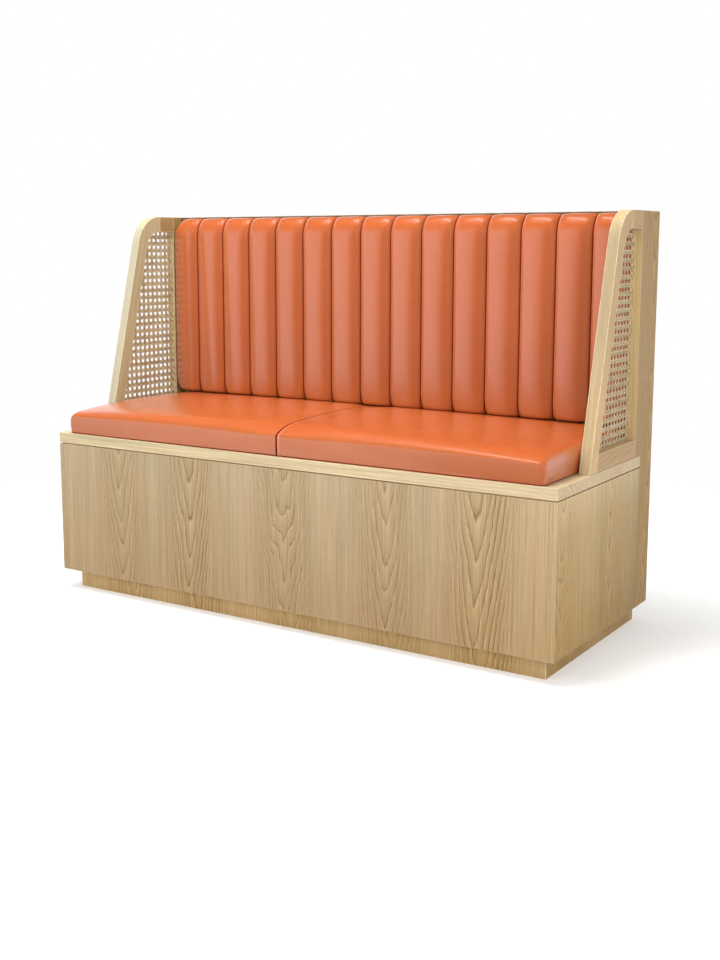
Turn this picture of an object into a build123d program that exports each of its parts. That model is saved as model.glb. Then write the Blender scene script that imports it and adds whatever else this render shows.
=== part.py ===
from build123d import *
import math
import os

os.makedirs("parts", exist_ok=True)

# A two-seat booth bench. Sizes are in millimetres and angles in degrees.
# X runs along the bench, the seat faces -Y, and the origin is on the floor
# under the middle of the bench's outline.

# Whole bench
bench_length = 1440
bench_depth = 565
bench_height = 1005
board_thickness = 18
edge_rounding = 1.2
joint_clearance = 0.1
cut_overrun = 1

# Plinth
plinth_height = 52
plinth_end_recess = 32
plinth_front_recess = 34
plinth_rear_recess = 4

# Box under the seat
box_height = 346
divider_spacing = 480
post_width = 40
nailer_width = 60
ledger_height = 60
ledger_thickness = 22
spacer_height = 3.5
spacer_recess = 4

# Seat deck
deck_thickness = 26

# Back panel
back_thickness = 79
back_end_thickness = 22
skin_thickness = 12
bar_width = 45
stud_spacing = 520
cushion_rail_height = 120

# Wings
wing_thickness = 26
wing_foot_setback = 172
wing_top_setback = 321
wing_edge_rounding = 2
wing_corner_radius = 90
front_stile_width = 37
rear_stile_width = 35.5
bottom_rail_height = 42
top_rail_height = 42
corner_land = 6
tenon_length = 18
tenon_thickness = 8
tenon_shoulder = 6

# Woven cane panels
cane_setback = 6
cane_thickness = 2
cane_groove_depth = 6
cane_corner_radius = 50
cane_pitch = 18.95
cane_hole_width = 10.6
cane_rim = 0.4
cane_first_row = 14
cane_first_column = 8

# Seat cushions
seat_side_clearance = 1.5
seat_parting_gap = 1
seat_front_setback = 0.5
seat_rear_clearance = 1
seat_board_thickness = 12
seat_board_inset = 10
seat_tuck = 4
seat_middle_crown = 81
seat_end_crown = 67
seat_middle_front_height = 41
seat_full_front_height = 61
seat_middle_shoulder_run = 73
seat_end_shoulder_run = 18
seat_middle_shoulder_height = 74
seat_end_shoulder_height = 64
seat_middle_rear_height = 69
seat_end_rear_height = 65
seat_rear_edge_height = 48
seat_rear_shoulder_run = 22
seat_end_softening = 12

# Back cushion
channel_count = 15
channel_rise = 17
cushion_seam_depth = 35
cushion_rim_depth = 17
cushion_rim_rise = 3
cushion_edge_round = 50
cushion_corner_round = 26
cushion_side_clearance = 0.6
cushion_seat_gap = 1.2
cushion_top_drop = 4
cushion_board_thickness = 12
cushion_board_inset = 14
cushion_board_corner = 24
soft_clearance = 0.3

# Screws and dowels
screw_radius = 2
screw_head_radius = 4
screw_head_height = 3
deck_screw_length = 40
base_screw_length = 40
ledger_screw_length = 45
cushion_screw_length = 45
cushion_screw_bore_depth = 30
cushion_screw_bore_radius = 6
deck_screw_spacing = 400
base_screw_spacing = 400
base_end_screw_spacing = 180
ledger_screw_spacing = 380
cushion_screw_spacing = 420
dowel_radius = 4
dowel_depth = 20
rail_dowel_shares = (0.2, 0.5, 0.8)
stile_dowel_shares = (0.16, 0.5, 0.84)

# Places that follow from the sizes
half_length = bench_length / 2
front_y = -bench_depth / 2
rear_y = bench_depth / 2
panel_front_y = rear_y - back_thickness
box_bottom_z = plinth_height
box_top_z = box_bottom_z + box_height
bottom_top_z = box_bottom_z + board_thickness
deck_bottom_z = box_top_z + spacer_height
deck_top_z = deck_bottom_z + deck_thickness
box_inner_x = half_length - board_thickness
box_inner_y = front_y + board_thickness
hole_radius = screw_radius + joint_clearance


def block(low, high, mode=Mode.ADD):
    # a rectangular block between two opposite corners
    size = [b - a for a, b in zip(low, high)]
    with Locations(low):
        Box(*size, align=(Align.MIN, Align.MIN, Align.MIN), mode=mode)


def spaced(count, spacing):
    # places along a line, centred on zero
    return [(i - (count - 1) / 2) * spacing for i in range(count)]


def write(piece, name):
    piece.part.label = name
    export_step(piece.part, f"parts/{name}.step")


# Plinth: a mitred front, two ends, a rear board and two cross rails
plinth_x = half_length - plinth_end_recess
plinth_front_y = front_y + plinth_front_recess
plinth_rear_y = rear_y - plinth_rear_recess
plinth_inner_x = plinth_x - board_thickness
plinth_inner_y = plinth_front_y + board_thickness
base_screw_places = [
    (x, plinth_front_y + board_thickness / 2, bottom_top_z) for x in spaced(4, base_screw_spacing)
]
base_screw_places += [
    (side * (plinth_x - board_thickness / 2), y, bottom_top_z)
    for side in (-1, 1)
    for y in spaced(2, base_end_screw_spacing)
]

with BuildPart() as plinth_front:
    with BuildSketch():
        with BuildLine():
            Polyline(
                (-plinth_x, plinth_front_y),
                (plinth_x, plinth_front_y),
                (plinth_inner_x, plinth_inner_y),
                (-plinth_inner_x, plinth_inner_y),
                close=True,
            )
        make_face()
    extrude(amount=plinth_height)
    with Locations(*base_screw_places):
        Hole(radius=hole_radius, depth=base_screw_length + joint_clearance)

with BuildPart() as plinth_end_left:
    with BuildSketch():
        with BuildLine():
            Polyline(
                (-plinth_x, plinth_front_y),
                (-plinth_inner_x, plinth_inner_y),
                (-plinth_inner_x, plinth_rear_y),
                (-plinth_x, plinth_rear_y),
                close=True,
            )
        make_face()
    extrude(amount=plinth_height)
    with Locations(*base_screw_places):
        Hole(radius=hole_radius, depth=base_screw_length + joint_clearance)

with BuildPart() as plinth_end_right:
    mirror(plinth_end_left.part, about=Plane.YZ)

with BuildPart() as plinth_rear:
    block(
        (-plinth_inner_x, plinth_rear_y - board_thickness, 0),
        (plinth_inner_x, plinth_rear_y, plinth_height),
    )

with BuildPart() as plinth_cross_left:
    block(
        (-(divider_spacing + board_thickness) / 2, plinth_inner_y, 0),
        (-(divider_spacing - board_thickness) / 2, plinth_rear_y - board_thickness, plinth_height),
    )

with BuildPart() as plinth_cross_right:
    mirror(plinth_cross_left.part, about=Plane.YZ)

# Box: veneered front and ends mitred at the corners, on a bottom panel
nailer_y = box_inner_y + nailer_width
nailer_z = deck_bottom_z - board_thickness
ledger_y = panel_front_y - ledger_thickness
ledger_z = deck_bottom_z - ledger_height
deck_screw_places = [
    (x, y, deck_top_z)
    for y in (box_inner_y + nailer_width / 2, panel_front_y - ledger_thickness / 2)
    for x in spaced(4, deck_screw_spacing)
]
ledger_screw_places = [
    Plane((x, ledger_y, deck_bottom_z - ledger_height / 2), x_dir=(1, 0, 0), z_dir=(0, -1, 0))
    for x in spaced(4, ledger_screw_spacing)
]

with BuildPart() as base_bottom:
    block((-box_inner_x, box_inner_y, box_bottom_z), (box_inner_x, panel_front_y, bottom_top_z))
    with Locations(*base_screw_places):
        CounterSinkHole(
            radius=hole_radius,
            counter_sink_radius=screw_head_radius + joint_clearance,
            depth=board_thickness + cut_overrun,
            counter_sink_angle=90,
        )

with BuildPart() as base_front:
    with BuildSketch(Plane.XY.offset(box_bottom_z)):
        with BuildLine():
            Polyline(
                (-half_length, front_y),
                (half_length, front_y),
                (box_inner_x, box_inner_y),
                (-box_inner_x, box_inner_y),
                close=True,
            )
        make_face()
    extrude(amount=box_height)

with BuildPart() as base_end_left:
    with BuildSketch(Plane.XY.offset(box_bottom_z)):
        with BuildLine():
            Polyline(
                (-half_length, front_y),
                (-box_inner_x, box_inner_y),
                (-box_inner_x, panel_front_y),
                (-half_length, panel_front_y),
                close=True,
            )
        make_face()
    extrude(amount=box_height)

with BuildPart() as base_end_right:
    mirror(base_end_left.part, about=Plane.YZ)

with BuildPart() as base_post_left:
    block(
        (-box_inner_x, box_inner_y, bottom_top_z),
        (-box_inner_x + post_width, box_inner_y + post_width, nailer_z),
    )

with BuildPart() as base_post_right:
    mirror(base_post_left.part, about=Plane.YZ)

# the front rail under the deck takes the deck's front row of screws
with BuildPart() as base_top_rail:
    block((-box_inner_x, box_inner_y, nailer_z), (box_inner_x, nailer_y, deck_bottom_z))
    with Locations(*deck_screw_places):
        Hole(radius=hole_radius, depth=deck_screw_length + joint_clearance)

# the ledger carries the deck's rear edge and is screwed to the back panel
with BuildPart() as base_ledger:
    block((-box_inner_x, ledger_y, ledger_z), (box_inner_x, panel_front_y, deck_bottom_z))
    with Locations(*deck_screw_places):
        Hole(radius=hole_radius, depth=deck_screw_length + joint_clearance)
    with Locations(*ledger_screw_places):
        CounterSinkHole(
            radius=hole_radius,
            counter_sink_radius=screw_head_radius + joint_clearance,
            depth=ledger_thickness + cut_overrun,
            counter_sink_angle=90,
        )

# dividers are notched round the front rail and the ledger
with BuildPart() as base_divider_left:
    divider_low_x = -(divider_spacing + board_thickness) / 2
    divider_high_x = -(divider_spacing - board_thickness) / 2
    block(
        (divider_low_x, box_inner_y, bottom_top_z),
        (divider_high_x, panel_front_y, deck_bottom_z),
    )
    block(
        (divider_low_x - cut_overrun, box_inner_y - cut_overrun, nailer_z),
        (divider_high_x + cut_overrun, nailer_y + joint_clearance, deck_bottom_z + cut_overrun),
        mode=Mode.SUBTRACT,
    )
    block(
        (divider_low_x - cut_overrun, ledger_y - joint_clearance, ledger_z),
        (divider_high_x + cut_overrun, panel_front_y + cut_overrun, deck_bottom_z + cut_overrun),
        mode=Mode.SUBTRACT,
    )

with BuildPart() as base_divider_right:
    mirror(base_divider_left.part, about=Plane.YZ)

# thin dark strips on the box's top edges, set back to leave a shadow line
with BuildPart() as spacer_front:
    block(
        (-half_length + spacer_recess, front_y + spacer_recess, box_top_z),
        (half_length - spacer_recess, box_inner_y, deck_bottom_z),
    )

with BuildPart() as spacer_left:
    block(
        (-half_length + spacer_recess, box_inner_y, box_top_z),
        (-box_inner_x, panel_front_y, deck_bottom_z),
    )

with BuildPart() as spacer_right:
    mirror(spacer_left.part, about=Plane.YZ)

# Wing outline: a front edge that leans back from the foot to the top, drawn in Y and Z
lean_run = (wing_top_setback - wing_foot_setback) / (bench_height - deck_top_z)
wing_lean = math.degrees(math.atan(lean_run))
lean_width = math.cos(math.radians(wing_lean))
wing_foot_y = front_y + wing_foot_setback
opening_bottom_z = deck_top_z + bottom_rail_height
opening_top_z = bench_height - top_rail_height
opening_rear_y = panel_front_y - rear_stile_width
wing_middle_x = half_length - wing_thickness / 2


def leaning_y(z, width=0):
    # the wing's front edge at a height, or the line that far behind it
    return wing_foot_y + width / lean_width + (z - deck_top_z) * lean_run


corner_run = cane_corner_radius * math.tan(math.radians((90 - wing_lean) / 2))
corner_joint_y = leaning_y(opening_top_z, front_stile_width) + corner_run + corner_land
rail_front_y = leaning_y(deck_top_z, front_stile_width)
rail_dowel_ys = [rail_front_y + share * (opening_rear_y - rail_front_y) for share in rail_dowel_shares]
stile_dowel_zs = [deck_top_z + share * (bench_height - deck_top_z) for share in stile_dowel_shares]
dowel_hole_radius = dowel_radius + joint_clearance
left_rail_dowels = [(-wing_middle_x, y, deck_top_z) for y in rail_dowel_ys]
right_rail_dowels = [(wing_middle_x, y, deck_top_z) for y in rail_dowel_ys]
left_stile_dowels = [
    Plane((-wing_middle_x, panel_front_y, z), x_dir=(1, 0, 0), z_dir=(0, -1, 0))
    for z in stile_dowel_zs
]
tenon_low_x = -wing_middle_x - tenon_thickness / 2
tenon_high_x = -wing_middle_x + tenon_thickness / 2
bottom_tenon_low_z = deck_top_z + tenon_shoulder
bottom_tenon_high_z = opening_bottom_z - cane_groove_depth - tenon_shoulder
top_tenon_low_z = opening_top_z + cane_groove_depth + tenon_shoulder
top_tenon_high_z = bench_height - tenon_shoulder
bottom_tenon_front_y = leaning_y(bottom_tenon_low_z, front_stile_width) - tenon_length
tenon_root_y = leaning_y(opening_bottom_z, front_stile_width) + tenon_length

# Seat deck, with countersunk screws and the holes for the wings' dowels
with BuildPart() as seat_deck:
    block((-half_length, front_y, deck_bottom_z), (half_length, panel_front_y, deck_top_z))
    fillet(seat_deck.edges().group_by(Axis.Z)[-1].sort_by(Axis.Y)[:-1], radius=edge_rounding)
    with Locations(*deck_screw_places):
        CounterSinkHole(
            radius=hole_radius,
            counter_sink_radius=screw_head_radius + joint_clearance,
            depth=deck_thickness + cut_overrun,
            counter_sink_angle=90,
        )
    with Locations(*left_rail_dowels, *right_rail_dowels):
        Hole(radius=dowel_hole_radius, depth=dowel_depth + joint_clearance)

# Back panel: two ends and a cap mitred together, round a frame with two skins
back_inner_x = half_length - back_end_thickness
cap_bottom_z = bench_height - board_thickness
frame_front_y = panel_front_y + skin_thickness
frame_rear_y = rear_y - skin_thickness
frame_middle_y = (frame_front_y + frame_rear_y) / 2
bar_inner_x = back_inner_x - bar_width
seat_rail_z = deck_bottom_z - bar_width
cushion_rail_z = deck_top_z + cushion_rail_height
studs_x = [
    (-(stud_spacing + bar_width) / 2, -(stud_spacing - bar_width) / 2),
    ((stud_spacing - bar_width) / 2, (stud_spacing + bar_width) / 2),
]
cushion_screw_places = [
    Plane((x, frame_rear_y, z + bar_width / 2), x_dir=(-1, 0, 0), z_dir=(0, 1, 0))
    for z in (cushion_rail_z, cap_bottom_z - bar_width)
    for x in spaced(3, cushion_screw_spacing)
]

with BuildPart() as back_end_left:
    with BuildSketch(Plane.XZ.offset(-rear_y)):
        with BuildLine():
            Polyline(
                (-half_length, box_bottom_z),
                (-back_inner_x, box_bottom_z),
                (-back_inner_x, cap_bottom_z),
                (-half_length, bench_height),
                close=True,
            )
        make_face()
    extrude(amount=back_thickness)
    with Locations(*left_stile_dowels):
        Hole(radius=dowel_hole_radius, depth=dowel_depth + joint_clearance)

with BuildPart() as back_end_right:
    mirror(back_end_left.part, about=Plane.YZ)

with BuildPart() as back_cap:
    with BuildSketch(Plane.XZ.offset(-rear_y)):
        with BuildLine():
            Polyline(
                (-back_inner_x, cap_bottom_z),
                (back_inner_x, cap_bottom_z),
                (half_length, bench_height),
                (-half_length, bench_height),
                close=True,
            )
        make_face()
    extrude(amount=back_thickness)

with BuildPart() as back_stile_left:
    block(
        (-back_inner_x, frame_front_y, box_bottom_z),
        (-bar_inner_x, frame_rear_y, cap_bottom_z),
    )

with BuildPart() as back_stile_right:
    mirror(back_stile_left.part, about=Plane.YZ)

with BuildPart() as back_rail_bottom:
    block(
        (-bar_inner_x, frame_front_y, box_bottom_z),
        (bar_inner_x, frame_rear_y, box_bottom_z + bar_width),
    )

with BuildPart() as back_rail_top:
    block(
        (-bar_inner_x, frame_front_y, cap_bottom_z - bar_width),
        (bar_inner_x, frame_rear_y, cap_bottom_z),
    )
    with Locations(*cushion_screw_places[3:]):
        CounterBoreHole(
            radius=hole_radius,
            counter_bore_radius=cushion_screw_bore_radius,
            counter_bore_depth=cushion_screw_bore_depth,
        )

# the two middle rails are cut away at the rear where they cross the studs
with BuildPart() as back_rail_seat:
    block(
        (-bar_inner_x, frame_front_y, seat_rail_z),
        (bar_inner_x, frame_rear_y, seat_rail_z + bar_width),
    )
    for low_x, high_x in studs_x:
        block(
            (low_x - joint_clearance, frame_middle_y, seat_rail_z - cut_overrun),
            (high_x + joint_clearance, frame_rear_y + cut_overrun, deck_bottom_z + cut_overrun),
            mode=Mode.SUBTRACT,
        )
    with Locations(*ledger_screw_places):
        Hole(radius=hole_radius, depth=ledger_screw_length + joint_clearance)

with BuildPart() as back_rail_cushion:
    block(
        (-bar_inner_x, frame_front_y, cushion_rail_z),
        (bar_inner_x, frame_rear_y, cushion_rail_z + bar_width),
    )
    for low_x, high_x in studs_x:
        block(
            (low_x - joint_clearance, frame_middle_y, cushion_rail_z - cut_overrun),
            (high_x + joint_clearance, frame_rear_y + cut_overrun, cushion_rail_z + bar_width + cut_overrun),
            mode=Mode.SUBTRACT,
        )
    with Locations(*cushion_screw_places[:3]):
        CounterBoreHole(
            radius=hole_radius,
            counter_bore_radius=cushion_screw_bore_radius,
            counter_bore_depth=cushion_screw_bore_depth,
        )

# the studs are cut away at the front where the middle rails cross them
with BuildPart() as back_stud_left:
    block(
        (studs_x[0][0], frame_front_y, box_bottom_z + bar_width),
        (studs_x[0][1], frame_rear_y, cap_bottom_z - bar_width),
    )
    for rail_z in (seat_rail_z, cushion_rail_z):
        block(
            (studs_x[0][0] - cut_overrun, frame_front_y - cut_overrun, rail_z - joint_clearance),
            (studs_x[0][1] + cut_overrun, frame_middle_y, rail_z + bar_width + joint_clearance),
            mode=Mode.SUBTRACT,
        )

with BuildPart() as back_stud_right:
    mirror(back_stud_left.part, about=Plane.YZ)

with BuildPart() as back_skin_front:
    block((-back_inner_x, panel_front_y, box_bottom_z), (back_inner_x, frame_front_y, cap_bottom_z))
    with Locations(*ledger_screw_places):
        Hole(radius=hole_radius, depth=ledger_screw_length + joint_clearance)
    with Locations(*cushion_screw_places):
        Hole(radius=hole_radius, depth=back_thickness)

with BuildPart() as back_skin_rear:
    block((-back_inner_x, frame_rear_y, box_bottom_z), (back_inner_x, rear_y, cap_bottom_z))

# The groove round the wing's opening that holds the edge of the cane
groove_half_width = cane_thickness / 2 + joint_clearance
cane_middle_x = -half_length + wing_thickness - cane_setback - cane_thickness / 2


def cane_corners(reach):
    # the opening's corners, moved outwards by reach
    return [
        (leaning_y(opening_bottom_z - reach, front_stile_width - reach), opening_bottom_z - reach),
        (opening_rear_y + reach, opening_bottom_z - reach),
        (opening_rear_y + reach, opening_top_z + reach),
        (leaning_y(opening_top_z + reach, front_stile_width - reach), opening_top_z + reach),
    ]


groove_corners = cane_corners(cane_groove_depth)
with BuildPart() as cane_groove:
    with BuildSketch(Plane.YZ.offset(cane_middle_x - groove_half_width)):
        with BuildLine():
            Polyline(*groove_corners, close=True)
        groove_face = make_face()
        fillet(
            groove_face.vertices().sort_by_distance(groove_corners[3])[0],
            radius=cane_corner_radius + cane_groove_depth,
        )
    extrude(amount=2 * groove_half_width)

# Left wing: the sloping front stile carries the large round corner
with BuildPart() as wing_left_front_stile:
    with BuildSketch(Plane.YZ.offset(-half_length)) as stile_outline:
        inner_corner = (leaning_y(opening_top_z, front_stile_width), opening_top_z)
        outer_corner = (leaning_y(bench_height), bench_height)
        with BuildLine():
            Polyline(
                (wing_foot_y, deck_top_z),
                (rail_front_y, deck_top_z),
                inner_corner,
                (corner_joint_y, opening_top_z),
                (corner_joint_y, bench_height),
                outer_corner,
                close=True,
            )
        make_face()
        for corner, radius in ((inner_corner, cane_corner_radius), (outer_corner, wing_corner_radius)):
            fillet(stile_outline.vertices().sort_by_distance(corner)[0], radius=radius)
    extrude(amount=wing_thickness)
    leaning_edges = wing_left_front_stile.faces().sort_by(Axis.Y)[0].edges()
    fillet(leaning_edges.sort_by(SortBy.LENGTH)[-2:], radius=wing_edge_rounding)
    add(cane_groove.part, mode=Mode.SUBTRACT)
    block(
        (tenon_low_x - joint_clearance, bottom_tenon_front_y, bottom_tenon_low_z - joint_clearance),
        (tenon_high_x + joint_clearance, tenon_root_y, bottom_tenon_high_z + joint_clearance),
        mode=Mode.SUBTRACT,
    )
    block(
        (tenon_low_x - joint_clearance, corner_joint_y - tenon_length, top_tenon_low_z - joint_clearance),
        (tenon_high_x + joint_clearance, corner_joint_y + cut_overrun, top_tenon_high_z + joint_clearance),
        mode=Mode.SUBTRACT,
    )

with BuildPart() as wing_left_top_rail:
    block(
        (-half_length, corner_joint_y, opening_top_z),
        (-half_length + wing_thickness, opening_rear_y, bench_height),
    )
    top_edges = wing_left_top_rail.edges().group_by(Axis.Z)[-1]
    fillet(top_edges.filter_by(Axis.Y), radius=wing_edge_rounding)
    add(cane_groove.part, mode=Mode.SUBTRACT)
    block(
        (tenon_low_x, corner_joint_y - tenon_length, top_tenon_low_z),
        (tenon_high_x, opening_rear_y + tenon_length, top_tenon_high_z),
    )

with BuildPart() as wing_left_bottom_rail:
    with BuildSketch(Plane.YZ.offset(-half_length)):
        with BuildLine():
            Polyline(
                (rail_front_y, deck_top_z),
                (opening_rear_y, deck_top_z),
                (opening_rear_y, opening_bottom_z),
                (leaning_y(opening_bottom_z, front_stile_width), opening_bottom_z),
                close=True,
            )
        make_face()
    extrude(amount=wing_thickness)
    add(cane_groove.part, mode=Mode.SUBTRACT)
    block(
        (tenon_low_x, bottom_tenon_front_y, bottom_tenon_low_z),
        (tenon_high_x, opening_rear_y + tenon_length, bottom_tenon_high_z),
    )
    with Locations(*left_rail_dowels):
        Cylinder(
            dowel_hole_radius,
            dowel_depth + joint_clearance,
            align=(Align.CENTER, Align.CENTER, Align.MIN),
            mode=Mode.SUBTRACT,
        )

with BuildPart() as wing_left_rear_stile:
    block(
        (-half_length, opening_rear_y, deck_top_z),
        (-half_length + wing_thickness, panel_front_y, bench_height),
    )
    top_edges = wing_left_rear_stile.edges().group_by(Axis.Z)[-1]
    fillet(top_edges.filter_by(Axis.Y), radius=wing_edge_rounding)
    add(cane_groove.part, mode=Mode.SUBTRACT)
    for low_z, high_z in ((bottom_tenon_low_z, bottom_tenon_high_z), (top_tenon_low_z, top_tenon_high_z)):
        block(
            (tenon_low_x - joint_clearance, opening_rear_y - cut_overrun, low_z - joint_clearance),
            (tenon_high_x + joint_clearance, opening_rear_y + tenon_length, high_z + joint_clearance),
            mode=Mode.SUBTRACT,
        )
    with Locations(*left_stile_dowels):
        Cylinder(
            dowel_hole_radius,
            dowel_depth + joint_clearance,
            align=(Align.CENTER, Align.CENTER, Align.MIN),
            mode=Mode.SUBTRACT,
        )

with BuildPart() as wing_left_dowels:
    with Locations(*left_rail_dowels, *left_stile_dowels):
        Cylinder(dowel_radius, 2 * dowel_depth)

# Cane: a thin sheet whose octagonal holes stand in straight rows and columns
cane_reach = cane_groove_depth - joint_clearance
cane_hole_reach = cane_hole_width / 2 + cane_rim
corner_centre_y = leaning_y(opening_top_z, front_stile_width) + corner_run
corner_centre_z = opening_top_z - cane_corner_radius
cane_rows = int((opening_top_z - opening_bottom_z - cane_first_row - cane_hole_reach) / cane_pitch) + 1
cane_columns = int((opening_rear_y - rail_front_y) / cane_pitch) + 1
cane_holes = []
for row in range(cane_rows):
    for column in range(cane_columns):
        hole_z = opening_bottom_z + cane_first_row + row * cane_pitch
        hole_y = opening_rear_y - cane_first_column - column * cane_pitch
        behind_edge = (hole_y - leaning_y(hole_z, front_stile_width)) * lean_width
        in_corner = hole_y < corner_centre_y and hole_z > corner_centre_z
        from_centre = math.hypot(hole_y - corner_centre_y, hole_z - corner_centre_z)
        if behind_edge > cane_hole_reach and not (
            in_corner and from_centre + cane_hole_reach > cane_corner_radius
        ):
            cane_holes.append((hole_y, hole_z))

with BuildPart() as wing_left_cane:
    with BuildSketch(Plane.YZ.offset(cane_middle_x - cane_thickness / 2)):
        sheet_corners = cane_corners(cane_reach)
        with BuildLine():
            Polyline(*sheet_corners, close=True)
        sheet_face = make_face()
        fillet(
            sheet_face.vertices().sort_by_distance(sheet_corners[3])[0],
            radius=cane_corner_radius + cane_reach,
        )
        with Locations(*cane_holes):
            RegularPolygon(
                radius=cane_hole_width / 2,
                side_count=8,
                major_radius=False,
                rotation=22.5,
                mode=Mode.SUBTRACT,
            )
    extrude(amount=cane_thickness)

# Right wing: the left wing mirrored
with BuildPart() as wing_right_front_stile:
    mirror(wing_left_front_stile.part, about=Plane.YZ)

with BuildPart() as wing_right_top_rail:
    mirror(wing_left_top_rail.part, about=Plane.YZ)

with BuildPart() as wing_right_bottom_rail:
    mirror(wing_left_bottom_rail.part, about=Plane.YZ)

with BuildPart() as wing_right_rear_stile:
    mirror(wing_left_rear_stile.part, about=Plane.YZ)

with BuildPart() as wing_right_cane:
    mirror(wing_left_cane.part, about=Plane.YZ)

with BuildPart() as wing_right_dowels:
    mirror(wing_left_dowels.part, about=Plane.YZ)

# Left seat cushion: cross sections lofted along the bench, from the outer end to the
# parting line, where the pair is at its highest
seat_outer_x = half_length - wing_thickness - seat_side_clearance
seat_inner_x = seat_parting_gap / 2
seat_front_y = front_y + seat_front_setback
seat_depth = panel_front_y - seat_rear_clearance - seat_front_y
shoulder_arc_shares = (0.27, 0.54)
section_place_shares = (0, 0.1, 0.3, 0.6, 0.86, 0.97, 0.99, 1)
section_blend_shares = (0, 0.03, 0.08, 0.25, 0.6, 1, 1, 1)
section_run_shares = (0, 0.3, 0.6, 0.8, 0.9, 1, 1, 1)
section_front_shares = (0, 0.5, 0.85, 1, 1, 0.8, 0.75, 0.7)
section_softening_shares = (0, 0, 0, 0, 0, 0, 0.3, 1)


def between(first, last, share):
    return first + (last - first) * share


with BuildPart() as seat_left_pad:
    for place, blend, run, front, softening in zip(
        section_place_shares,
        section_blend_shares,
        section_run_shares,
        section_front_shares,
        section_softening_shares,
    ):
        soft = seat_end_softening * softening
        crown = between(seat_middle_crown, seat_end_crown, blend) - soft
        front_height = between(seat_middle_front_height, seat_full_front_height, front) - soft
        shoulder_run = between(seat_middle_shoulder_run, seat_end_shoulder_run, run) + soft
        shoulder_z = between(seat_middle_shoulder_height, seat_end_shoulder_height, blend) - soft
        rear_shoulder_z = between(seat_middle_rear_height, seat_end_rear_height, blend) - soft
        rear_height = min(seat_rear_edge_height, front_height)
        rear_shoulder_y = seat_depth - seat_rear_shoulder_run - soft
        front_soft = soft / 2
        with BuildSketch(
            Plane(
                (-between(seat_inner_x, seat_outer_x, place), seat_front_y, deck_top_z),
                x_dir=(0, 1, 0),
                z_dir=(1, 0, 0),
            )
        ):
            with BuildLine():
                ThreePointArc(
                    (seat_tuck + front_soft, 0),
                    (front_soft, front_height / 2),
                    (seat_tuck / 4 + front_soft, front_height),
                )
                ThreePointArc(
                    (seat_tuck / 4 + front_soft, front_height),
                    (
                        between(seat_tuck / 4 + front_soft, shoulder_run, shoulder_arc_shares[0]),
                        between(front_height, shoulder_z, shoulder_arc_shares[1]),
                    ),
                    (shoulder_run, shoulder_z),
                )
                ThreePointArc(
                    (shoulder_run, shoulder_z),
                    ((shoulder_run + rear_shoulder_y) / 2, crown),
                    (rear_shoulder_y, rear_shoulder_z),
                )
                ThreePointArc(
                    (rear_shoulder_y, rear_shoulder_z),
                    (
                        between(seat_depth, rear_shoulder_y, shoulder_arc_shares[0]),
                        between(rear_height, rear_shoulder_z, shoulder_arc_shares[1]),
                    ),
                    (seat_depth - front_soft, rear_height),
                )
                Polyline(
                    (seat_depth - front_soft, rear_height),
                    (seat_depth - seat_tuck - front_soft, 0),
                    (seat_tuck + front_soft, 0),
                )
            make_face()
    loft(ruled=True)
    block(
        (-seat_outer_x + seat_board_inset, seat_front_y + seat_board_inset, deck_top_z - cut_overrun),
        (
            -seat_inner_x - seat_board_inset,
            seat_front_y + seat_depth - seat_board_inset,
            deck_top_z + seat_board_thickness,
        ),
        mode=Mode.SUBTRACT,
    )

with BuildPart() as seat_right_pad:
    mirror(seat_left_pad.part, about=Plane.YZ)

board_inset = seat_board_inset + soft_clearance
with BuildPart() as seat_left_board:
    block(
        (-seat_outer_x + board_inset, seat_front_y + board_inset, deck_top_z),
        (
            -seat_inner_x - board_inset,
            seat_front_y + seat_depth - board_inset,
            deck_top_z + seat_board_thickness,
        ),
    )

with BuildPart() as seat_right_board:
    mirror(seat_left_board.part, about=Plane.YZ)

# Back cushion: a channelled outline lofted from the bottom edge to the top edge
cushion_half_width = half_length - wing_thickness - cushion_side_clearance
channel_pitch = 2 * cushion_half_width / channel_count
cushion_bottom_z = deck_top_z + seat_middle_rear_height + cushion_seat_gap
cushion_top_z = bench_height - cushion_top_drop
edge_angles = [0, 18, 36, 54, 72, 90]
cushion_levels = [(a, cushion_bottom_z, 1) for a in edge_angles]
cushion_levels += [(a, cushion_top_z, -1) for a in reversed(edge_angles)]

with BuildPart() as back_pad:
    for angle, edge_z, inward in cushion_levels:
        fullness = math.sin(math.radians(angle))
        level_z = edge_z + inward * cushion_edge_round * (1 - math.cos(math.radians(angle)))
        level_half = cushion_half_width - cushion_corner_round * (1 - fullness)
        seam_y = panel_front_y - between(cushion_rim_depth, cushion_seam_depth, fullness)
        crown_y = seam_y - between(cushion_rim_rise, channel_rise, fullness)
        back_y = panel_front_y - soft_clearance
        seams_x = [(i - channel_count / 2) * channel_pitch for i in range(channel_count + 1)]
        seams_x[0] = -level_half
        seams_x[-1] = level_half
        with BuildSketch(Plane.XY.offset(level_z)):
            with BuildLine():
                for low_x, high_x in zip(seams_x[:-1], seams_x[1:]):
                    ThreePointArc((low_x, seam_y), ((low_x + high_x) / 2, crown_y), (high_x, seam_y))
                Polyline(
                    (level_half, seam_y),
                    (level_half, back_y),
                    (-level_half, back_y),
                    (-level_half, seam_y),
                )
            make_face()
    loft(ruled=True)
    with BuildSketch(Plane.XZ.offset(-panel_front_y)):
        with Locations((0, (cushion_bottom_z + cushion_top_z) / 2)):
            RectangleRounded(
                2 * (cushion_half_width - cushion_board_inset),
                cushion_top_z - cushion_bottom_z - 2 * cushion_board_inset,
                cushion_board_corner,
            )
    extrude(amount=cushion_board_thickness, mode=Mode.SUBTRACT)

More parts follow.
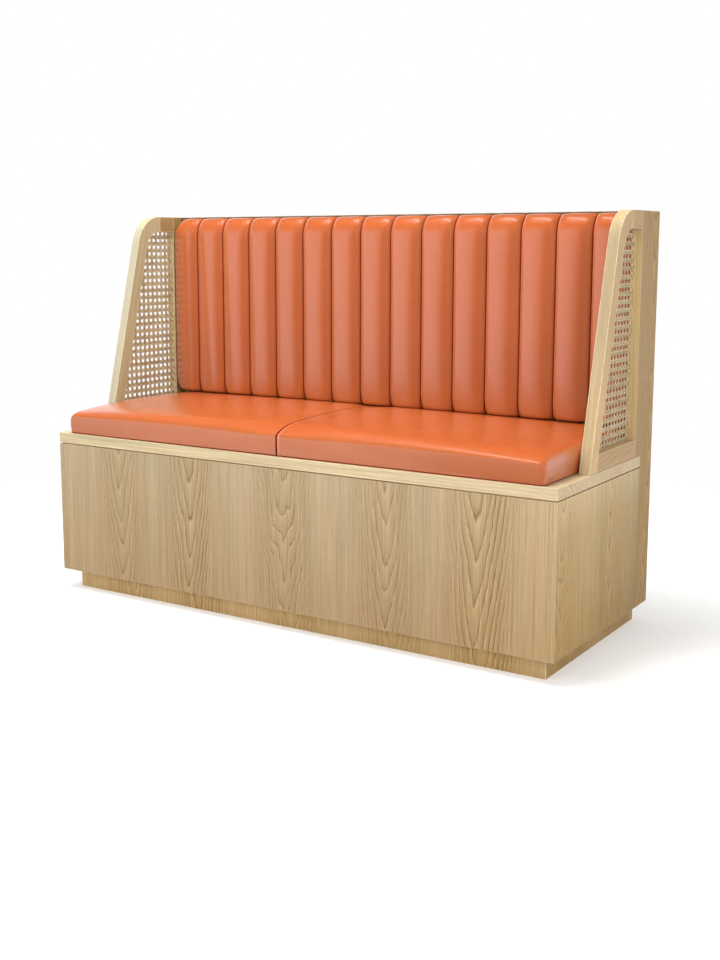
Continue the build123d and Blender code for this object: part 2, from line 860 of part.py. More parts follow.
back_board_inset = cushion_board_inset + soft_clearance
with BuildPart() as back_board:
    with BuildSketch(Plane.XZ.offset(-panel_front_y)):
        with Locations((0, (cushion_bottom_z + cushion_top_z) / 2)):
            RectangleRounded(
                2 * (cushion_half_width - back_board_inset),
                cushion_top_z - cushion_bottom_z - 2 * back_board_inset,
                cushion_board_corner,
            )
    extrude(amount=cushion_board_thickness)
    with Locations(*cushion_screw_places):
        Hole(
            radius=hole_radius,
            depth=cushion_screw_bore_depth + cushion_screw_length + joint_clearance,
        )

# Screws, each kind together
with BuildPart() as deck_screws:
    with Locations(*deck_screw_places):
        Cylinder(
            screw_radius, deck_screw_length, align=(Align.CENTER, Align.CENTER, Align.MAX)
        )
        Cone(
            screw_radius,
            screw_head_radius,
            screw_head_radius - screw_radius,
            align=(Align.CENTER, Align.CENTER, Align.MAX),
        )

with BuildPart() as base_screws:
    with Locations(*base_screw_places):
        Cylinder(
            screw_radius, base_screw_length, align=(Align.CENTER, Align.CENTER, Align.MAX)
        )
        Cone(
            screw_radius,
            screw_head_radius,
            screw_head_radius - screw_radius,
            align=(Align.CENTER, Align.CENTER, Align.MAX),
        )

with BuildPart() as ledger_screws:
    with Locations(*ledger_screw_places):
        Cylinder(
            screw_radius, ledger_screw_length, align=(Align.CENTER, Align.CENTER, Align.MAX)
        )
        Cone(
            screw_radius,
            screw_head_radius,
            screw_head_radius - screw_radius,
            align=(Align.CENTER, Align.CENTER, Align.MAX),
        )

# the back cushion's screws have pan heads at the bottom of their counterbores
cushion_screw_seats = [place.offset(-cushion_screw_bore_depth) for place in cushion_screw_places]
with BuildPart() as cushion_screws:
    with Locations(*cushion_screw_seats):
        Cylinder(
            screw_radius, cushion_screw_length, align=(Align.CENTER, Align.CENTER, Align.MAX)
        )
        Cylinder(
            screw_head_radius, screw_head_height, align=(Align.CENTER, Align.CENTER, Align.MIN)
        )

write(plinth_front, "plinth_front")
write(plinth_rear, "plinth_rear")
write(plinth_end_left, "plinth_end_left")
write(plinth_end_right, "plinth_end_right")
write(plinth_cross_left, "plinth_cross_left")
write(plinth_cross_right, "plinth_cross_right")
write(base_bottom, "base_bottom")
write(base_front, "base_front")
write(base_end_left, "base_end_left")
write(base_end_right, "base_end_right")
write(base_post_left, "base_post_left")
write(base_post_right, "base_post_right")
write(base_top_rail, "base_top_rail")
write(base_ledger, "base_ledger")
write(base_divider_left, "base_divider_left")
write(base_divider_right, "base_divider_right")
write(spacer_front, "spacer_front")
write(spacer_left, "spacer_left")
write(spacer_right, "spacer_right")
write(seat_deck, "seat_deck")
write(back_end_left, "back_end_left")
write(back_end_right, "back_end_right")
write(back_cap, "back_cap")
write(back_stile_left, "back_stile_left")
write(back_stile_right, "back_stile_right")
write(back_rail_bottom, "back_rail_bottom")
write(back_rail_seat, "back_rail_seat")
write(back_rail_cushion, "back_rail_cushion")
write(back_rail_top, "back_rail_top")
write(back_stud_left, "back_stud_left")
write(back_stud_right, "back_stud_right")
write(back_skin_front, "back_skin_front")
write(back_skin_rear, "back_skin_rear")
write(wing_left_front_stile, "wing_left_front_stile")
write(wing_left_top_rail, "wing_left_top_rail")
write(wing_left_bottom_rail, "wing_left_bottom_rail")
write(wing_left_rear_stile, "wing_left_rear_stile")
write(wing_left_cane, "wing_left_cane")
write(wing_left_dowels, "wing_left_dowels")
write(wing_right_front_stile, "wing_right_front_stile")
write(wing_right_top_rail, "wing_right_top_rail")
write(wing_right_bottom_rail, "wing_right_bottom_rail")
write(wing_right_rear_stile, "wing_right_rear_stile")
write(wing_right_cane, "wing_right_cane")
write(wing_right_dowels, "wing_right_dowels")
write(seat_left_pad, "seat_left_pad")
write(seat_right_pad, "seat_right_pad")
write(seat_left_board, "seat_left_board")
write(seat_right_board, "seat_right_board")
write(back_pad, "back_pad")
write(back_board, "back_board")
write(deck_screws, "deck_screws")
write(base_screws, "base_screws")
write(ledger_screws, "ledger_screws")
write(cushion_screws, "cushion_screws")
print(len(cane_holes), "cane holes in each wing")
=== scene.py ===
import math
import bpy
import numpy as np
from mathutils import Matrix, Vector, noise


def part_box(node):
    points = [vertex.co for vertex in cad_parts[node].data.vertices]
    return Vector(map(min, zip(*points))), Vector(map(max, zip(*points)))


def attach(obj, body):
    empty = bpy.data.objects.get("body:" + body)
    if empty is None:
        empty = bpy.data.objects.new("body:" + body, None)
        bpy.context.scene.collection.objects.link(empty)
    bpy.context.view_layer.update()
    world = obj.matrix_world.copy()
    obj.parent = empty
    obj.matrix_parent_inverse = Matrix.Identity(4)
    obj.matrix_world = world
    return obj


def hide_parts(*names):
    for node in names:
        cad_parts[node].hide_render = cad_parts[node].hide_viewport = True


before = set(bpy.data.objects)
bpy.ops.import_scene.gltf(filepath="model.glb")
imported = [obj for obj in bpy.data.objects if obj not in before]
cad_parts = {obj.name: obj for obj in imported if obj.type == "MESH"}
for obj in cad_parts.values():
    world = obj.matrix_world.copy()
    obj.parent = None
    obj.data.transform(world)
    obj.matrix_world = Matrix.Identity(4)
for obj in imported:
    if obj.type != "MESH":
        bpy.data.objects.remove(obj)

scene = bpy.context.scene
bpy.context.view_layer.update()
print("frame loaded:", len(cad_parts), "nodes")


# node helpers, which work on the tree that was opened last

opened = {}


def feed(socket, value):
    if isinstance(value, bpy.types.NodeSocket):
        opened["tree"].links.new(value, socket)
    else:
        socket.default_value = value


def put(kind, inputs=None, **settings):
    node = opened["tree"].nodes.new("ShaderNode" + kind)
    for name, value in settings.items():
        setattr(node, name, value)
    for name, value in (inputs or {}).items():
        feed(node.inputs[name], value)
    return node


def calc(operation, *values, clamp=False):
    return put("Math", dict(enumerate(values)), operation=operation, use_clamp=clamp).outputs[0]


def times(first, second, clamp=False):
    return calc("MULTIPLY", first, second, clamp=clamp)


def plus(first, second):
    return calc("ADD", first, second)


def minus(first, second):
    return calc("SUBTRACT", first, second)


def timesPlus(first, second, third):
    return calc("MULTIPLY_ADD", first, second, third)


def larger(first, second):
    return calc("MAXIMUM", first, second)


def sizeOf(value):
    return calc("ABSOLUTE", value)


def swing(value, amount):  # a noise about its middle
    return times(minus(value, 0.5), amount)


def beatOf(value, length):  # how far the value is into its repeat, from 0 to 1
    return calc("FRACT", calc("DIVIDE", value, length))


def spread(value, low, high, first=0.0, last=1.0, kind="SMOOTHSTEP"):
    names = {"Value": value, "From Min": low, "From Max": high, "To Min": first, "To Max": last}
    return put("MapRange", names, interpolation_type=kind).outputs[0]


def mixColours(factor, first, second, mode="MIX"):
    return put("Mix", {0: factor, 6: first, 7: second}, data_type="RGBA", blend_type=mode).outputs[2]


def tinge(colour, shade):
    return mixColours(1.0, colour, shade, "MULTIPLY")


def greyOf(level):
    return put("CombineColor", {0: level, 1: level, 2: level}).outputs[0]


def axesOf(place):
    return put("SeparateXYZ", {0: place}).outputs


def alongWay(place, way):
    return put("VectorMath", {0: place, 1: way}, operation="DOT_PRODUCT").outputs["Value"]


def ramp(value, stops):
    node = put("ValToRGB", {0: value})
    elements = node.color_ramp.elements
    elements.remove(elements[-1])
    elements[0].position = stops[0][0]
    elements[0].color = (stops[0][1],) * 3 + (1,)
    for position, level in stops[1:]:
        elements.new(position).color = (level,) * 3 + (1,)
    return node.outputs[0]


def stretchedNoise(place, scales, detail=2.0, rough=0.5, shift=(0, 0, 0)):
    scaled = put("VectorMath", {0: place, 1: scales, 2: shift}, operation="MULTIPLY_ADD").outputs[0]
    inputs = {"Vector": scaled, "Scale": 1.0, "Detail": detail, "Roughness": rough}
    return put("TexNoise", inputs).outputs["Fac"]


def newGroup(name, inputs, outputs):
    group = opened["tree"] = bpy.data.node_groups.new(name, "ShaderNodeTree")
    for way, sockets in (("INPUT", inputs), ("OUTPUT", outputs)):
        for label, kind, *start in sockets:
            socket = group.interface.new_socket(label, in_out=way, socket_type="NodeSocket" + kind)
            if start:
                socket.default_value = start[0]
    return group, group.nodes.new("NodeGroupInput").outputs, group.nodes.new("NodeGroupOutput").inputs


def useGroup(group, inputs):
    return put("Group", inputs, node_tree=group).outputs


def newMaterial(name):
    material = bpy.data.materials.new(name)
    material.use_nodes = True
    opened["tree"] = material.node_tree
    return material, material.node_tree.nodes["Principled BSDF"], put("TexCoord").outputs["Object"]


def finishSurface(shader, colour, rough, height, strength, depth):
    feed(shader.inputs["Base Color"], colour)
    feed(shader.inputs["Roughness"], rough)
    bumped = put("Bump", {"Strength": strength, "Distance": depth, "Height": height}).outputs[0]
    feed(shader.inputs["Normal"], bumped)


def addObject(name, data):
    thing = bpy.data.objects.new(name, data)
    scene.collection.objects.link(thing)
    return thing


def newMesh(name, points, faces):
    mesh = bpy.data.meshes.new(name)
    mesh.from_pydata(points, [], faces)
    return mesh


# shared effects

# pale edges: partly wear, mostly a painted highlight where the rounded edges would catch the light
def makeEdgeWearAndSheen():
    group, given, made = newGroup(
        "edgeWearAndSheen", [("Radius", "Float", 0.002), ("Place", "Vector")], [("Mask", "Float")])
    rounded = put("Bevel", {"Radius": given["Radius"]}, samples=6).outputs[0]
    plain = put("NewGeometry").outputs["Normal"]
    facing = alongWay(rounded, plain)
    edge = spread(facing, 0.995, 0.86)
    chips = stretchedNoise(given["Place"], (60, 60, 60), 3.0, 0.6)
    feed(made["Mask"], times(edge, spread(chips, 0.3, 0.7, 0.45, 1.0)))
    return group


def makeJointLine():
    group, given, made = newGroup(
        "jointLine", [("Place", "Vector"), ("Way", "Vector"), ("Distance", "Float", 0.0)],
        [("Mask", "Float")])
    along = alongWay(given["Place"], given["Way"])
    away = sizeOf(minus(along, given["Distance"]))
    uneven = stretchedNoise(given["Place"], (40, 40, 40), 3.0, 0.6)
    line = spread(away, 0.0004, 0.0013, 0.9, 0.0)
    feed(made["Mask"], times(line, spread(uneven, 0.2, 0.6, 0.6, 1.0)))
    return group


veneer = {
    "repeat": 0.808,  # width after which the three leaves come again, side by side
    "start": 0.6475,
    "secondLeaf": 0.257,
    "thirdLeaf": 0.5185,
    "centres": (0.1425, 0.3715, 0.6655),
    "ringsPerMetre": (12.5, 10.93, 13.53),
    "strength": (0.75, 1.0, 0.70),
    "shake": (1.2, 1.2, 2.8),
    "jag": 0.30,
    "bend": 0.035,
    "lowestPoint": 0.062,  # height at which the first ring's point lies
    "armSpread": 276.0,
    "armPower": 1.5,
    "lineStrength": 0.90,
    "poreStrength": 0.26,
    "nearTone": (0.90, 0.86, 0.72, 1),
}
ringLine = [(0, 0.9), (0.05, 0.12), (0.3, 0.0), (0.7, 0.12), (0.9, 0.5), (0.97, 1.0), (1, 0.95)]
fineLine = [(0, 0.8), (0.15, 0.1), (0.6, 0.0), (0.88, 0.4), (1, 0.9)]
ringHalo = [(0, 0.0), (0.1, 1.0), (0.3, 0.2), (0.6, 0.0), (1, 0.0)]


def makeVeneerGrain():
    group, given, made = newGroup(
        "veneerGrain",
        [("Place", "Vector"), ("Ground", "Color"), ("Warm", "Color"),
         ("Line", "Color"), ("Figure", "Float", 1.0), ("Fibre", "Float", 1.0), ("Shift", "Float", 0.0)],
        [("Color", "Color"), ("Roughness", "Float"), ("Height", "Float")],
    )
    place = given["Place"]
    axes = axesOf(place)
    drift = stretchedNoise(place, (5, 2.6, 5))
    wobble = stretchedNoise(place, (20, 6, 20), shift=(3.1, 0, 0))
    jag = stretchedNoise(place, (120, 26, 120), 2.0, 0.6, (0, 7.7, 0))
    across = plus(plus(axes[0], given["Shift"]), veneer["start"])
    fold = times(beatOf(across, veneer["repeat"]), veneer["repeat"])
    second = calc("GREATER_THAN", fold, veneer["secondLeaf"])
    third = calc("GREATER_THAN", fold, veneer["thirdLeaf"])
    onlySecond = minus(second, third)

    def perLeaf(name):  # the value that holds on each of the three leaves
        one, two, three = veneer[name]
        return timesPlus(third, three - two, timesPlus(second, two - one, one))

    side = plus(minus(fold, perLeaf("centres")), swing(drift, veneer["bend"]))
    away = sizeOf(side)
    # growth rings: a steep hyperbola about each leaf's centre, points down
    climb = times(minus(axes[1], veneer["lowestPoint"]), perLeaf("ringsPerMetre"))
    arms = times(calc("POWER", away, veneer["armPower"]), veneer["armSpread"])
    rings = minus(arms, climb)
    rings = plus(rings, swing(wobble, perLeaf("shake")))
    rings = plus(rings, swing(jag, veneer["jag"]))
    turn = calc("FRACT", rings)
    line = ramp(turn, ringLine)
    fine = ramp(calc("FRACT", times(rings, 3.0)), fineLine)
    # the lines are strong near a leaf's centre and in one bundle of the second leaf
    fromMiddle = sizeOf(timesPlus(onlySecond, -0.012, side))
    near = spread(fromMiddle, 0.03, 0.1, 1.0, 0.16)
    near = times(near, perLeaf("strength"))
    bundle = spread(sizeOf(minus(side, 0.05)), 0.006, 0.026, 1.0, 0.0)
    bundle = times(bundle, onlySecond)
    breakUp = spread(stretchedNoise(place, (240, 11, 240), 3.0, 0.6), 0.34, 0.60, 0.35, 1.0)
    strong = times(line, timesPlus(bundle, 0.7, near))
    flank = times(spread(away, 0.010, 0.032), spread(away, 0.055, 0.115, 1.0, 0.0))
    weak = times(fine, timesPlus(flank, 0.46, 0.10))
    figure = times(times(plus(strong, weak), breakUp), given["Figure"], True)
    fibres = stretchedNoise(place, (480, 7, 480), 3.0, 0.65)
    dashes = spread(stretchedNoise(place, (560, 24, 560), shift=(0, 0, 5.5)), 0.56, 0.72)
    dashes = times(dashes, given["Fibre"])
    bands = spread(stretchedNoise(place, (15, 0.9, 15), 2.0, 0.55), 0.35, 0.65)
    ground = mixColours(bands, given["Ground"], given["Warm"])
    nearby = times(near, times(given["Figure"], 0.5), True)
    ground = mixColours(nearby, ground, veneer["nearTone"], "MULTIPLY")
    broad = stretchedNoise(place, (95, 1.3, 95), 2.0, 0.6, (0, 2.2, 0))
    narrow = stretchedNoise(place, (230, 3.0, 230), 2.0, 0.6, (0, 0, 8.8))
    shade = plus(swing(broad, 0.32), swing(narrow, 0.72))
    shade = timesPlus(minus(fibres, 0.5), 0.55, shade)
    shade = timesPlus(shade, given["Fibre"], 1.0)
    halo = times(times(ramp(turn, ringHalo), near), given["Figure"])
    shade = timesPlus(halo, 0.20, shade)
    ground = tinge(ground, greyOf(shade))
    ground = mixColours(times(dashes, veneer["poreStrength"]), ground, given["Line"])
    colour = mixColours(times(figure, veneer["lineStrength"]), ground, given["Line"])
    feed(made["Color"], colour)
    feed(made["Roughness"], timesPlus(figure, 0.12, timesPlus(fibres, 0.16, 0.34)))
    low = plus(times(figure, -0.55), times(dashes, -0.6))
    feed(made["Height"], timesPlus(fibres, 0.35, low))
    return group


def makeLeatherHide():
    group, given, made = newGroup(
        "leatherHide",
        [("Place", "Vector"), ("Deep", "Color"), ("Bright", "Color"),
         ("Pebble", "Float", 0.0012)],
        [("Color", "Color"), ("Roughness", "Float"), ("Height", "Float")],
    )
    place = given["Place"]
    swirl = put("TexNoise", {"Vector": place, "Scale": 260.0, "Detail": 2.0}).outputs["Color"]
    bent = {0: swirl, 1: (0.0012,) * 3, 2: place}
    bent = put("VectorMath", bent, operation="MULTIPLY_ADD").outputs[0]
    scale = calc("DIVIDE", 1.0, given["Pebble"])
    cells = put("TexVoronoi", {"Vector": bent, "Scale": scale}, feature="DISTANCE_TO_EDGE")
    pebbles = spread(cells.outputs["Distance"], 0.0, 0.16)
    tone = stretchedNoise(place, (5, 5, 5), 3.0, 0.55)
    specks = stretchedNoise(place, (190, 190, 190), 3.0, 0.6)
    colour = mixColours(spread(tone, 0.3, 0.7), given["Deep"], given["Bright"])
    colour = tinge(colour, greyOf(timesPlus(specks, 0.16, 0.92)))
    colour = tinge(colour, greyOf(timesPlus(pebbles, 0.10, 0.90)))
    feed(made["Color"], colour)
    rough = timesPlus(tone, 0.14, 0.25)
    feed(made["Roughness"], timesPlus(pebbles, -0.05, rough))
    ripple = stretchedNoise(place, (22, 22, 22), 2.0, 0.5)
    feed(made["Height"], timesPlus(ripple, 0.7, times(pebbles, 0.22)))
    return group


def makeToneFade():  # a slow change of tone along one direction, used mostly for painted light and shade
    group, given, made = newGroup(
        "toneFade",
        [("Color", "Color"), ("Shade", "Color"), ("Place", "Vector"),
         ("Way", "Vector"), ("First", "Float", 0.0), ("Last", "Float", 1.0)],
        [("Color", "Color")],
    )
    along = alongWay(given["Place"], given["Way"])
    amount = spread(along, given["First"], given["Last"], kind="LINEAR")
    shaded = tinge(given["Color"], given["Shade"])
    feed(made["Color"], mixColours(amount, given["Color"], shaded))
    return group


def makeFrontFaceShade():  # painted shade: the faces turned to the front are toned darker or paler than the rest, for how the lamps light them
    group, given, made = newGroup(
        "frontFaceShade", [("Color", "Color"), ("Shade", "Color")], [("Color", "Color")])
    ahead = axesOf(put("NewGeometry").outputs["True Normal"])[1]
    shaded = tinge(given["Color"], given["Shade"])
    feed(made["Color"], mixColours(spread(ahead, -0.5, -0.85), given["Color"], shaded))
    return group


def makeLeatherSeams():  # painted shade in the seams, a painted highlight beside each and painted shade at the cushion's foot
    group, given, made = newGroup(
        "leatherSeams",
        [("Place", "Vector"), ("Every", "Float", 10.0), ("Start", "Float", 0.0),
         ("Half", "Float", 0.002), ("Foot", "Float", 0.0), ("Foot Shade", "Float", 0.5)],
        [("Gap", "Float"), ("Ridge", "Float"), ("Away", "Float")],
    )
    axes = axesOf(given["Place"])
    turns = calc("DIVIDE", minus(axes[0], given["Start"]), given["Every"])
    offset = swing(calc("FRACT", plus(turns, 0.5)), given["Every"])
    away = sizeOf(offset)
    past = minus(offset, given["Half"])
    ridgeHighlight = times(spread(past, 0.0, 0.001), spread(past, 0.003, 0.007, 1.0, 0.0))
    above = minus(axes[2], given["Foot"])
    foot = spread(above, 0.0014, 0.0048, given["Foot Shade"], 0.0)
    slit = spread(minus(away, given["Half"]), -0.0006, 0.0009, 0.97, 0.0)
    feed(made["Gap"], larger(foot, slit))
    feed(made["Ridge"], ridgeHighlight)
    feed(made["Away"], away)
    return group


edgeWearAndSheen = makeEdgeWearAndSheen()
jointLine = makeJointLine()
toneFade = makeToneFade()
frontFaceShade = makeFrontFaceShade()
leatherSeams = makeLeatherSeams()
veneerGrain = makeVeneerGrain()
leatherHide = makeLeatherHide()
print("shared effects ready")


# wood

wood = {
    "ground": (0.440, 0.335, 0.190),
    "warm": (0.466, 0.338, 0.198),
    "line": (0.200, 0.112, 0.044),
    "pale": (0.960, 0.840, 0.640, 1),
    "joint": (0.090, 0.050, 0.025, 1),
    "specular": 0.3,
    "wearAndSheenRadius": 0.0032,
    "bumpDepth": 0.0004,
    "lean": 0.2526,  # how far the wing's front edge leans back, in radians
    "deckTop": 0.4275,
    "rearSeam": 0.2035,
}
leanSin, leanCos = math.sin(wood["lean"]), math.cos(wood["lean"])
grainWays = {
    "upright": ((1, 1, 0), (0, 0, 1), (1, -1, 0)),
    "lengthwise": ((0, 1, 1), (1, 0, 0), (0, 1, -1)),
    "frontToBack": ((1, 0, 1), (0, 1, 0), (1, 0, -1)),
    "leaning": ((1, leanCos, -leanSin), (0, leanSin, leanCos), (1, 0, 0)),
}
toRight, toRear, upwards = (1, 0, 0), (0, 1, 0), (0, 0, 1)
deckJoint = (upwards, wood["deckTop"])
rearJoint = (toRear, wood["rearSeam"])

# each fade is a direction, the places along it where the tone starts and ends to change, and the last tone
fades = {
    # painted shade: the front darker towards the floor
    "frontLow": (upwards, 0.40, 0.08, (0.87, 0.80, 0.70, 1)),
    # painted light: the front paler towards the right end
    "frontCorner": (toRight, 0.35, 0.70, (1.12, 1.07, 1.0, 1)),
    # painted shade: the ends darker towards the floor
    "sideLow": (upwards, 0.42, 0.10, (0.80, 0.72, 0.56, 1)),
    "sideRear": (toRear, 0.02, 0.24, (0.86, 0.88, 0.90, 1)),
    # painted light: the ends paler just under the deck
    "underDeck": (upwards, 0.32, 0.42, (1.20, 1.24, 1.50, 1)),
    # painted shade along the cap's front edge, where the leather meets it
    "capRear": (toRear, 0.2048, 0.2037, (0.42, 0.31, 0.24, 1)),
    # painted light: the right front stile paler low down
    "stileLow": (upwards, 0.74, 0.58, (1.22, 1.18, 1.14, 1)),
    # painted light: the wing rails paler towards the right
    "rails": (toRight, -0.5, 0.5, (1.26, 1.28, 1.42, 1)),
    # painted light on the rear stile's face towards the opening, as if lit through the cane
    "rebate": (toRear, 0.1694, 0.1684, (1.34, 1.60, 1.95, 1)),
}

plainBoard = dict(figure=1.0, fibre=1.0, shift=0.0, wearAndSheen=0.8, bump=0.35, joints=[], fades=[], facing=None)
rawBoard = dict(tint=(1.45, 1.5, 1.5), figure=0.8, fibre=1.2, wearAndSheen=0.2, bump=0.6)
woodFinishes = {
    "frontVeneer": dict(
        way="upright", tint=(0.94, 0.96, 1.00), shift=0.2825, wearAndSheen=0.16, fades=["frontLow", "frontCorner"],
        nodes=["base_front"]),
    "sideVeneer": dict(
        way="upright", tint=(1.36, 1.32, 1.12), figure=0.8, fibre=1.2, shift=0.36, wearAndSheen=0.3,
        joints=[rearJoint], fades=["sideLow", "sideRear", "underDeck"],
        nodes=["base_end_left", "base_end_right"]),
    "backEndVeneer": dict(
        way="upright", tint=(1.22, 0.99, 0.65), figure=0.8, fibre=1.2, shift=0.36,
        joints=[rearJoint], fades=["sideRear"], nodes=["back_end_left", "back_end_right"]),
    "plinthVeneer": dict(
        way="upright", tint=(1.24, 1.10, 0.80), figure=1.25, fibre=1.1, shift=0.2485,
        facing=(0.89, 0.91, 1.0, 1),
        nodes=["plinth_front", "plinth_rear", "plinth_end_left", "plinth_end_right"]),
    "backVeneer": dict(
        way="upright", tint=(1.36, 1.32, 1.12), figure=0.4, fibre=0.7, shift=0.11,
        nodes=["back_skin_front", "back_skin_rear"]),
    "deckVeneer": dict(
        way="lengthwise", tint=(1.52, 1.58, 1.68), figure=0.4, fibre=1.1, shift=0.1, wearAndSheen=0.5,
        facing=(0.84, 0.88, 0.87, 1), nodes=["seat_deck"]),
    "capVeneer": dict(
        way="lengthwise", tint=(0.90, 0.88, 0.80), figure=0.2, fibre=0.6, shift=0.31, fades=["capRear"],
        nodes=["back_cap"]),
    # the two front stiles differ in tint for the light falling off from left to right: painted light
    "stileLeft": dict(
        way="leaning", tint=(1.24, 1.38, 1.42), figure=0.25, fibre=0.7, shift=0.05, wearAndSheen=1.0,
        joints=[deckJoint], facing=(0.82, 0.90, 1.08, 1), nodes=["wing_left_front_stile"]),
    "stileRight": dict(
        way="leaning", tint=(1.34, 1.23, 1.08), figure=0.25, fibre=0.7, shift=0.55, wearAndSheen=1.0,
        joints=[deckJoint], fades=["stileLow"], facing=(0.66, 0.74, 0.84, 1),
        nodes=["wing_right_front_stile"]),
    "railWood": dict(
        way="frontToBack", tint=(0.95, 0.80, 0.60), figure=0.22, fibre=0.7, shift=0.21,
        joints=[deckJoint], fades=["rails"],
        nodes=[f"wing_{side}_{rail}_rail" for side in ("left", "right") for rail in ("top", "bottom")]),
    "rearStileWood": dict(
        way="upright", tint=(0.93, 0.77, 0.50), figure=0.25, fibre=0.7, shift=0.63,
        joints=[deckJoint, rearJoint], fades=["rebate"],
        nodes=["wing_left_rear_stile", "wing_right_rear_stile"]),
    "carcassUpright": rawBoard | dict(
        way="upright", shift=0.5,
        nodes=["back_stile_left", "back_stile_right", "back_stud_left", "back_stud_right",
               "base_post_left", "base_post_right"]),
    "carcassLengthwise": rawBoard | dict(
        way="lengthwise", shift=0.4,
        nodes=["back_rail_bottom", "back_rail_seat", "back_rail_cushion", "back_rail_top",
               "base_top_rail", "base_ledger", "base_bottom"]),
    "carcassDeep": rawBoard | dict(
        way="frontToBack", shift=0.3,
        nodes=["plinth_cross_left", "plinth_cross_right", "base_divider_left", "base_divider_right"]),
    "shadowStrip": dict(
        way="lengthwise", tint=(1.0, 0.85, 0.68), figure=0.5, wearAndSheen=0.0, bump=0.5,
        nodes=["spacer_front", "spacer_left", "spacer_right"]),
    "dowelWood": rawBoard | dict(
        way="frontToBack", figure=0.3, fibre=1.4, wearAndSheen=0.1, nodes=["wing_left_dowels", "wing_right_dowels"]),
}


def makeWood(name, finish):
    material, shader, place = newMaterial(name)
    parts = [alongWay(place, way) for way in grainWays[finish["way"]]]
    turned = put("CombineXYZ", dict(enumerate(parts))).outputs[0]
    tinted = {key: tuple(min(1, a * b) for a, b in zip(wood[key], finish["tint"])) + (1,)
              for key in ("ground", "warm", "line")}
    grain = useGroup(veneerGrain, {
        "Place": turned, "Ground": tinted["ground"], "Warm": tinted["warm"], "Line": tinted["line"],
        "Figure": finish["figure"], "Fibre": finish["fibre"], "Shift": finish["shift"]})
    wornAndSheenEdge = useGroup(edgeWearAndSheen, {"Radius": wood["wearAndSheenRadius"], "Place": place})
    colour = grain["Color"]
    for fade in finish["fades"]:
        way, first, last, shade = fades[fade]
        inputs = {"Color": colour, "Shade": shade, "Place": place, "Way": way, "First": first, "Last": last}
        colour = useGroup(toneFade, inputs)["Color"]
    # painted shade and light on the faces turned to the front
    if finish["facing"]:
        colour = useGroup(frontFaceShade, {"Color": colour, "Shade": finish["facing"]})["Color"]
    # the pale edges are partly wear and partly a painted highlight
    colour = mixColours(times(wornAndSheenEdge["Mask"], finish["wearAndSheen"]), colour, wood["pale"])
    for way, distance in finish["joints"]:
        gap = useGroup(jointLine, {"Place": place, "Way": way, "Distance": distance})
        colour = mixColours(gap["Mask"], colour, wood["joint"])
    shader.inputs["Specular IOR Level"].default_value = wood["specular"]
    finishSurface(shader, colour, grain["Roughness"], grain["Height"], finish["bump"], wood["bumpDepth"])
    return material


plyFaces = {"Ground": (0.62, 0.47, 0.28, 1), "Warm": (0.66, 0.48, 0.30, 1), "Line": (0.42, 0.26, 0.13, 1)}
plyStripes = [(0, 0.0), (0.44, 0.0), (0.5, 1.0), (0.94, 1.0), (1, 0.0)]
plyPair = 0.0028  # two plies, one pale and one dark


def makePlywood():
    material, shader, place = newMaterial("plywood")
    sheets = axesOf(place)
    turned = put("CombineXYZ", {0: sheets[1], 1: sheets[0], 2: sheets[2]}).outputs[0]
    inputs = {"Place": turned, "Figure": 0.5, "Fibre": 1.0, "Shift": 0.2}
    grain = useGroup(veneerGrain, plyFaces | inputs)
    beat = beatOf(plus(sheets[1], sheets[2]), plyPair)
    plies = ramp(beat, plyStripes)
    ends = sizeOf(axesOf(put("NewGeometry").outputs["Normal"])[0])
    amount = times(times(plies, ends), 0.4)
    colour = mixColours(amount, grain["Color"], (0.35, 0.21, 0.10, 1))
    rough = plus(grain["Roughness"], 0.2)
    finishSurface(shader, colour, rough, grain["Height"], 0.4, wood["bumpDepth"])
    return material


def makeScrewSteel():
    material, shader, place = newMaterial("screwSteel")
    brushed = stretchedNoise(place, (2400, 2400, 300), 3.0, 0.7)
    spots = spread(stretchedNoise(place, (400, 400, 400), 3.0, 0.6), 0.4, 0.7)
    colour = mixColours(spots, (0.62, 0.62, 0.58, 1), (0.5, 0.47, 0.38, 1))
    shader.inputs["Metallic"].default_value = 1.0
    finishSurface(shader, colour, timesPlus(brushed, 0.3, 0.2), brushed, 0.2, 0.0002)
    return material


def coverNodes(material, names):
    for name in names:
        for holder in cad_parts[name].material_slots:
            holder.material = material


for name, finish in woodFinishes.items():
    coverNodes(makeWood(name, plainBoard | finish), finish["nodes"])
coverNodes(makePlywood(), ["seat_left_board", "seat_right_board", "back_board"])
coverNodes(makeScrewSteel(), ["deck_screws", "base_screws", "ledger_screws", "cushion_screws"])
print("wood, plywood and steel ready:", len(woodFinishes), "wood finishes")


# woven cane

cane = {
    "pitch": 0.01895,
    "rowStart": 0.4835,  # height of the lowest row of holes
    "columnStart": {-1: 0.1655, 1: 0.160},  # depth of the rearmost column of holes, left and right
    "pairSpread": 0.00245,
    "strandWidth": 0.0045,
    "diagonalWidth": 0.0035,
    "strandThickness": 0.0009,
    "pairRise": 0.0005,
    "diagonalRise": 0.00095,
    "plane": 0.701,
    "openingLow": 0.4695,
    "openingHigh": 0.963,
    "openingRear": 0.168,
    "footFront": -0.1105,
    "footHeight": 0.4275,
    "stileWidth": 0.037,
    "cornerRadius": 0.050,
    "grooveReach": 0.0055,
    "startHeight": 0.7, "startDepth": 0.05,  # where the upright and level strands are measured from
    "columns": 14,
    "rows": 28,
    "diagonals": 50,
    "dark": (0.46, 0.33, 0.165, 1),
    "light": (0.80, 0.66, 0.42, 1),
    "knot": (0.30, 0.18, 0.08, 1),
    # painted shade colour for the strands' sides
    "rim": (0.11, 0.062, 0.026, 1),
}


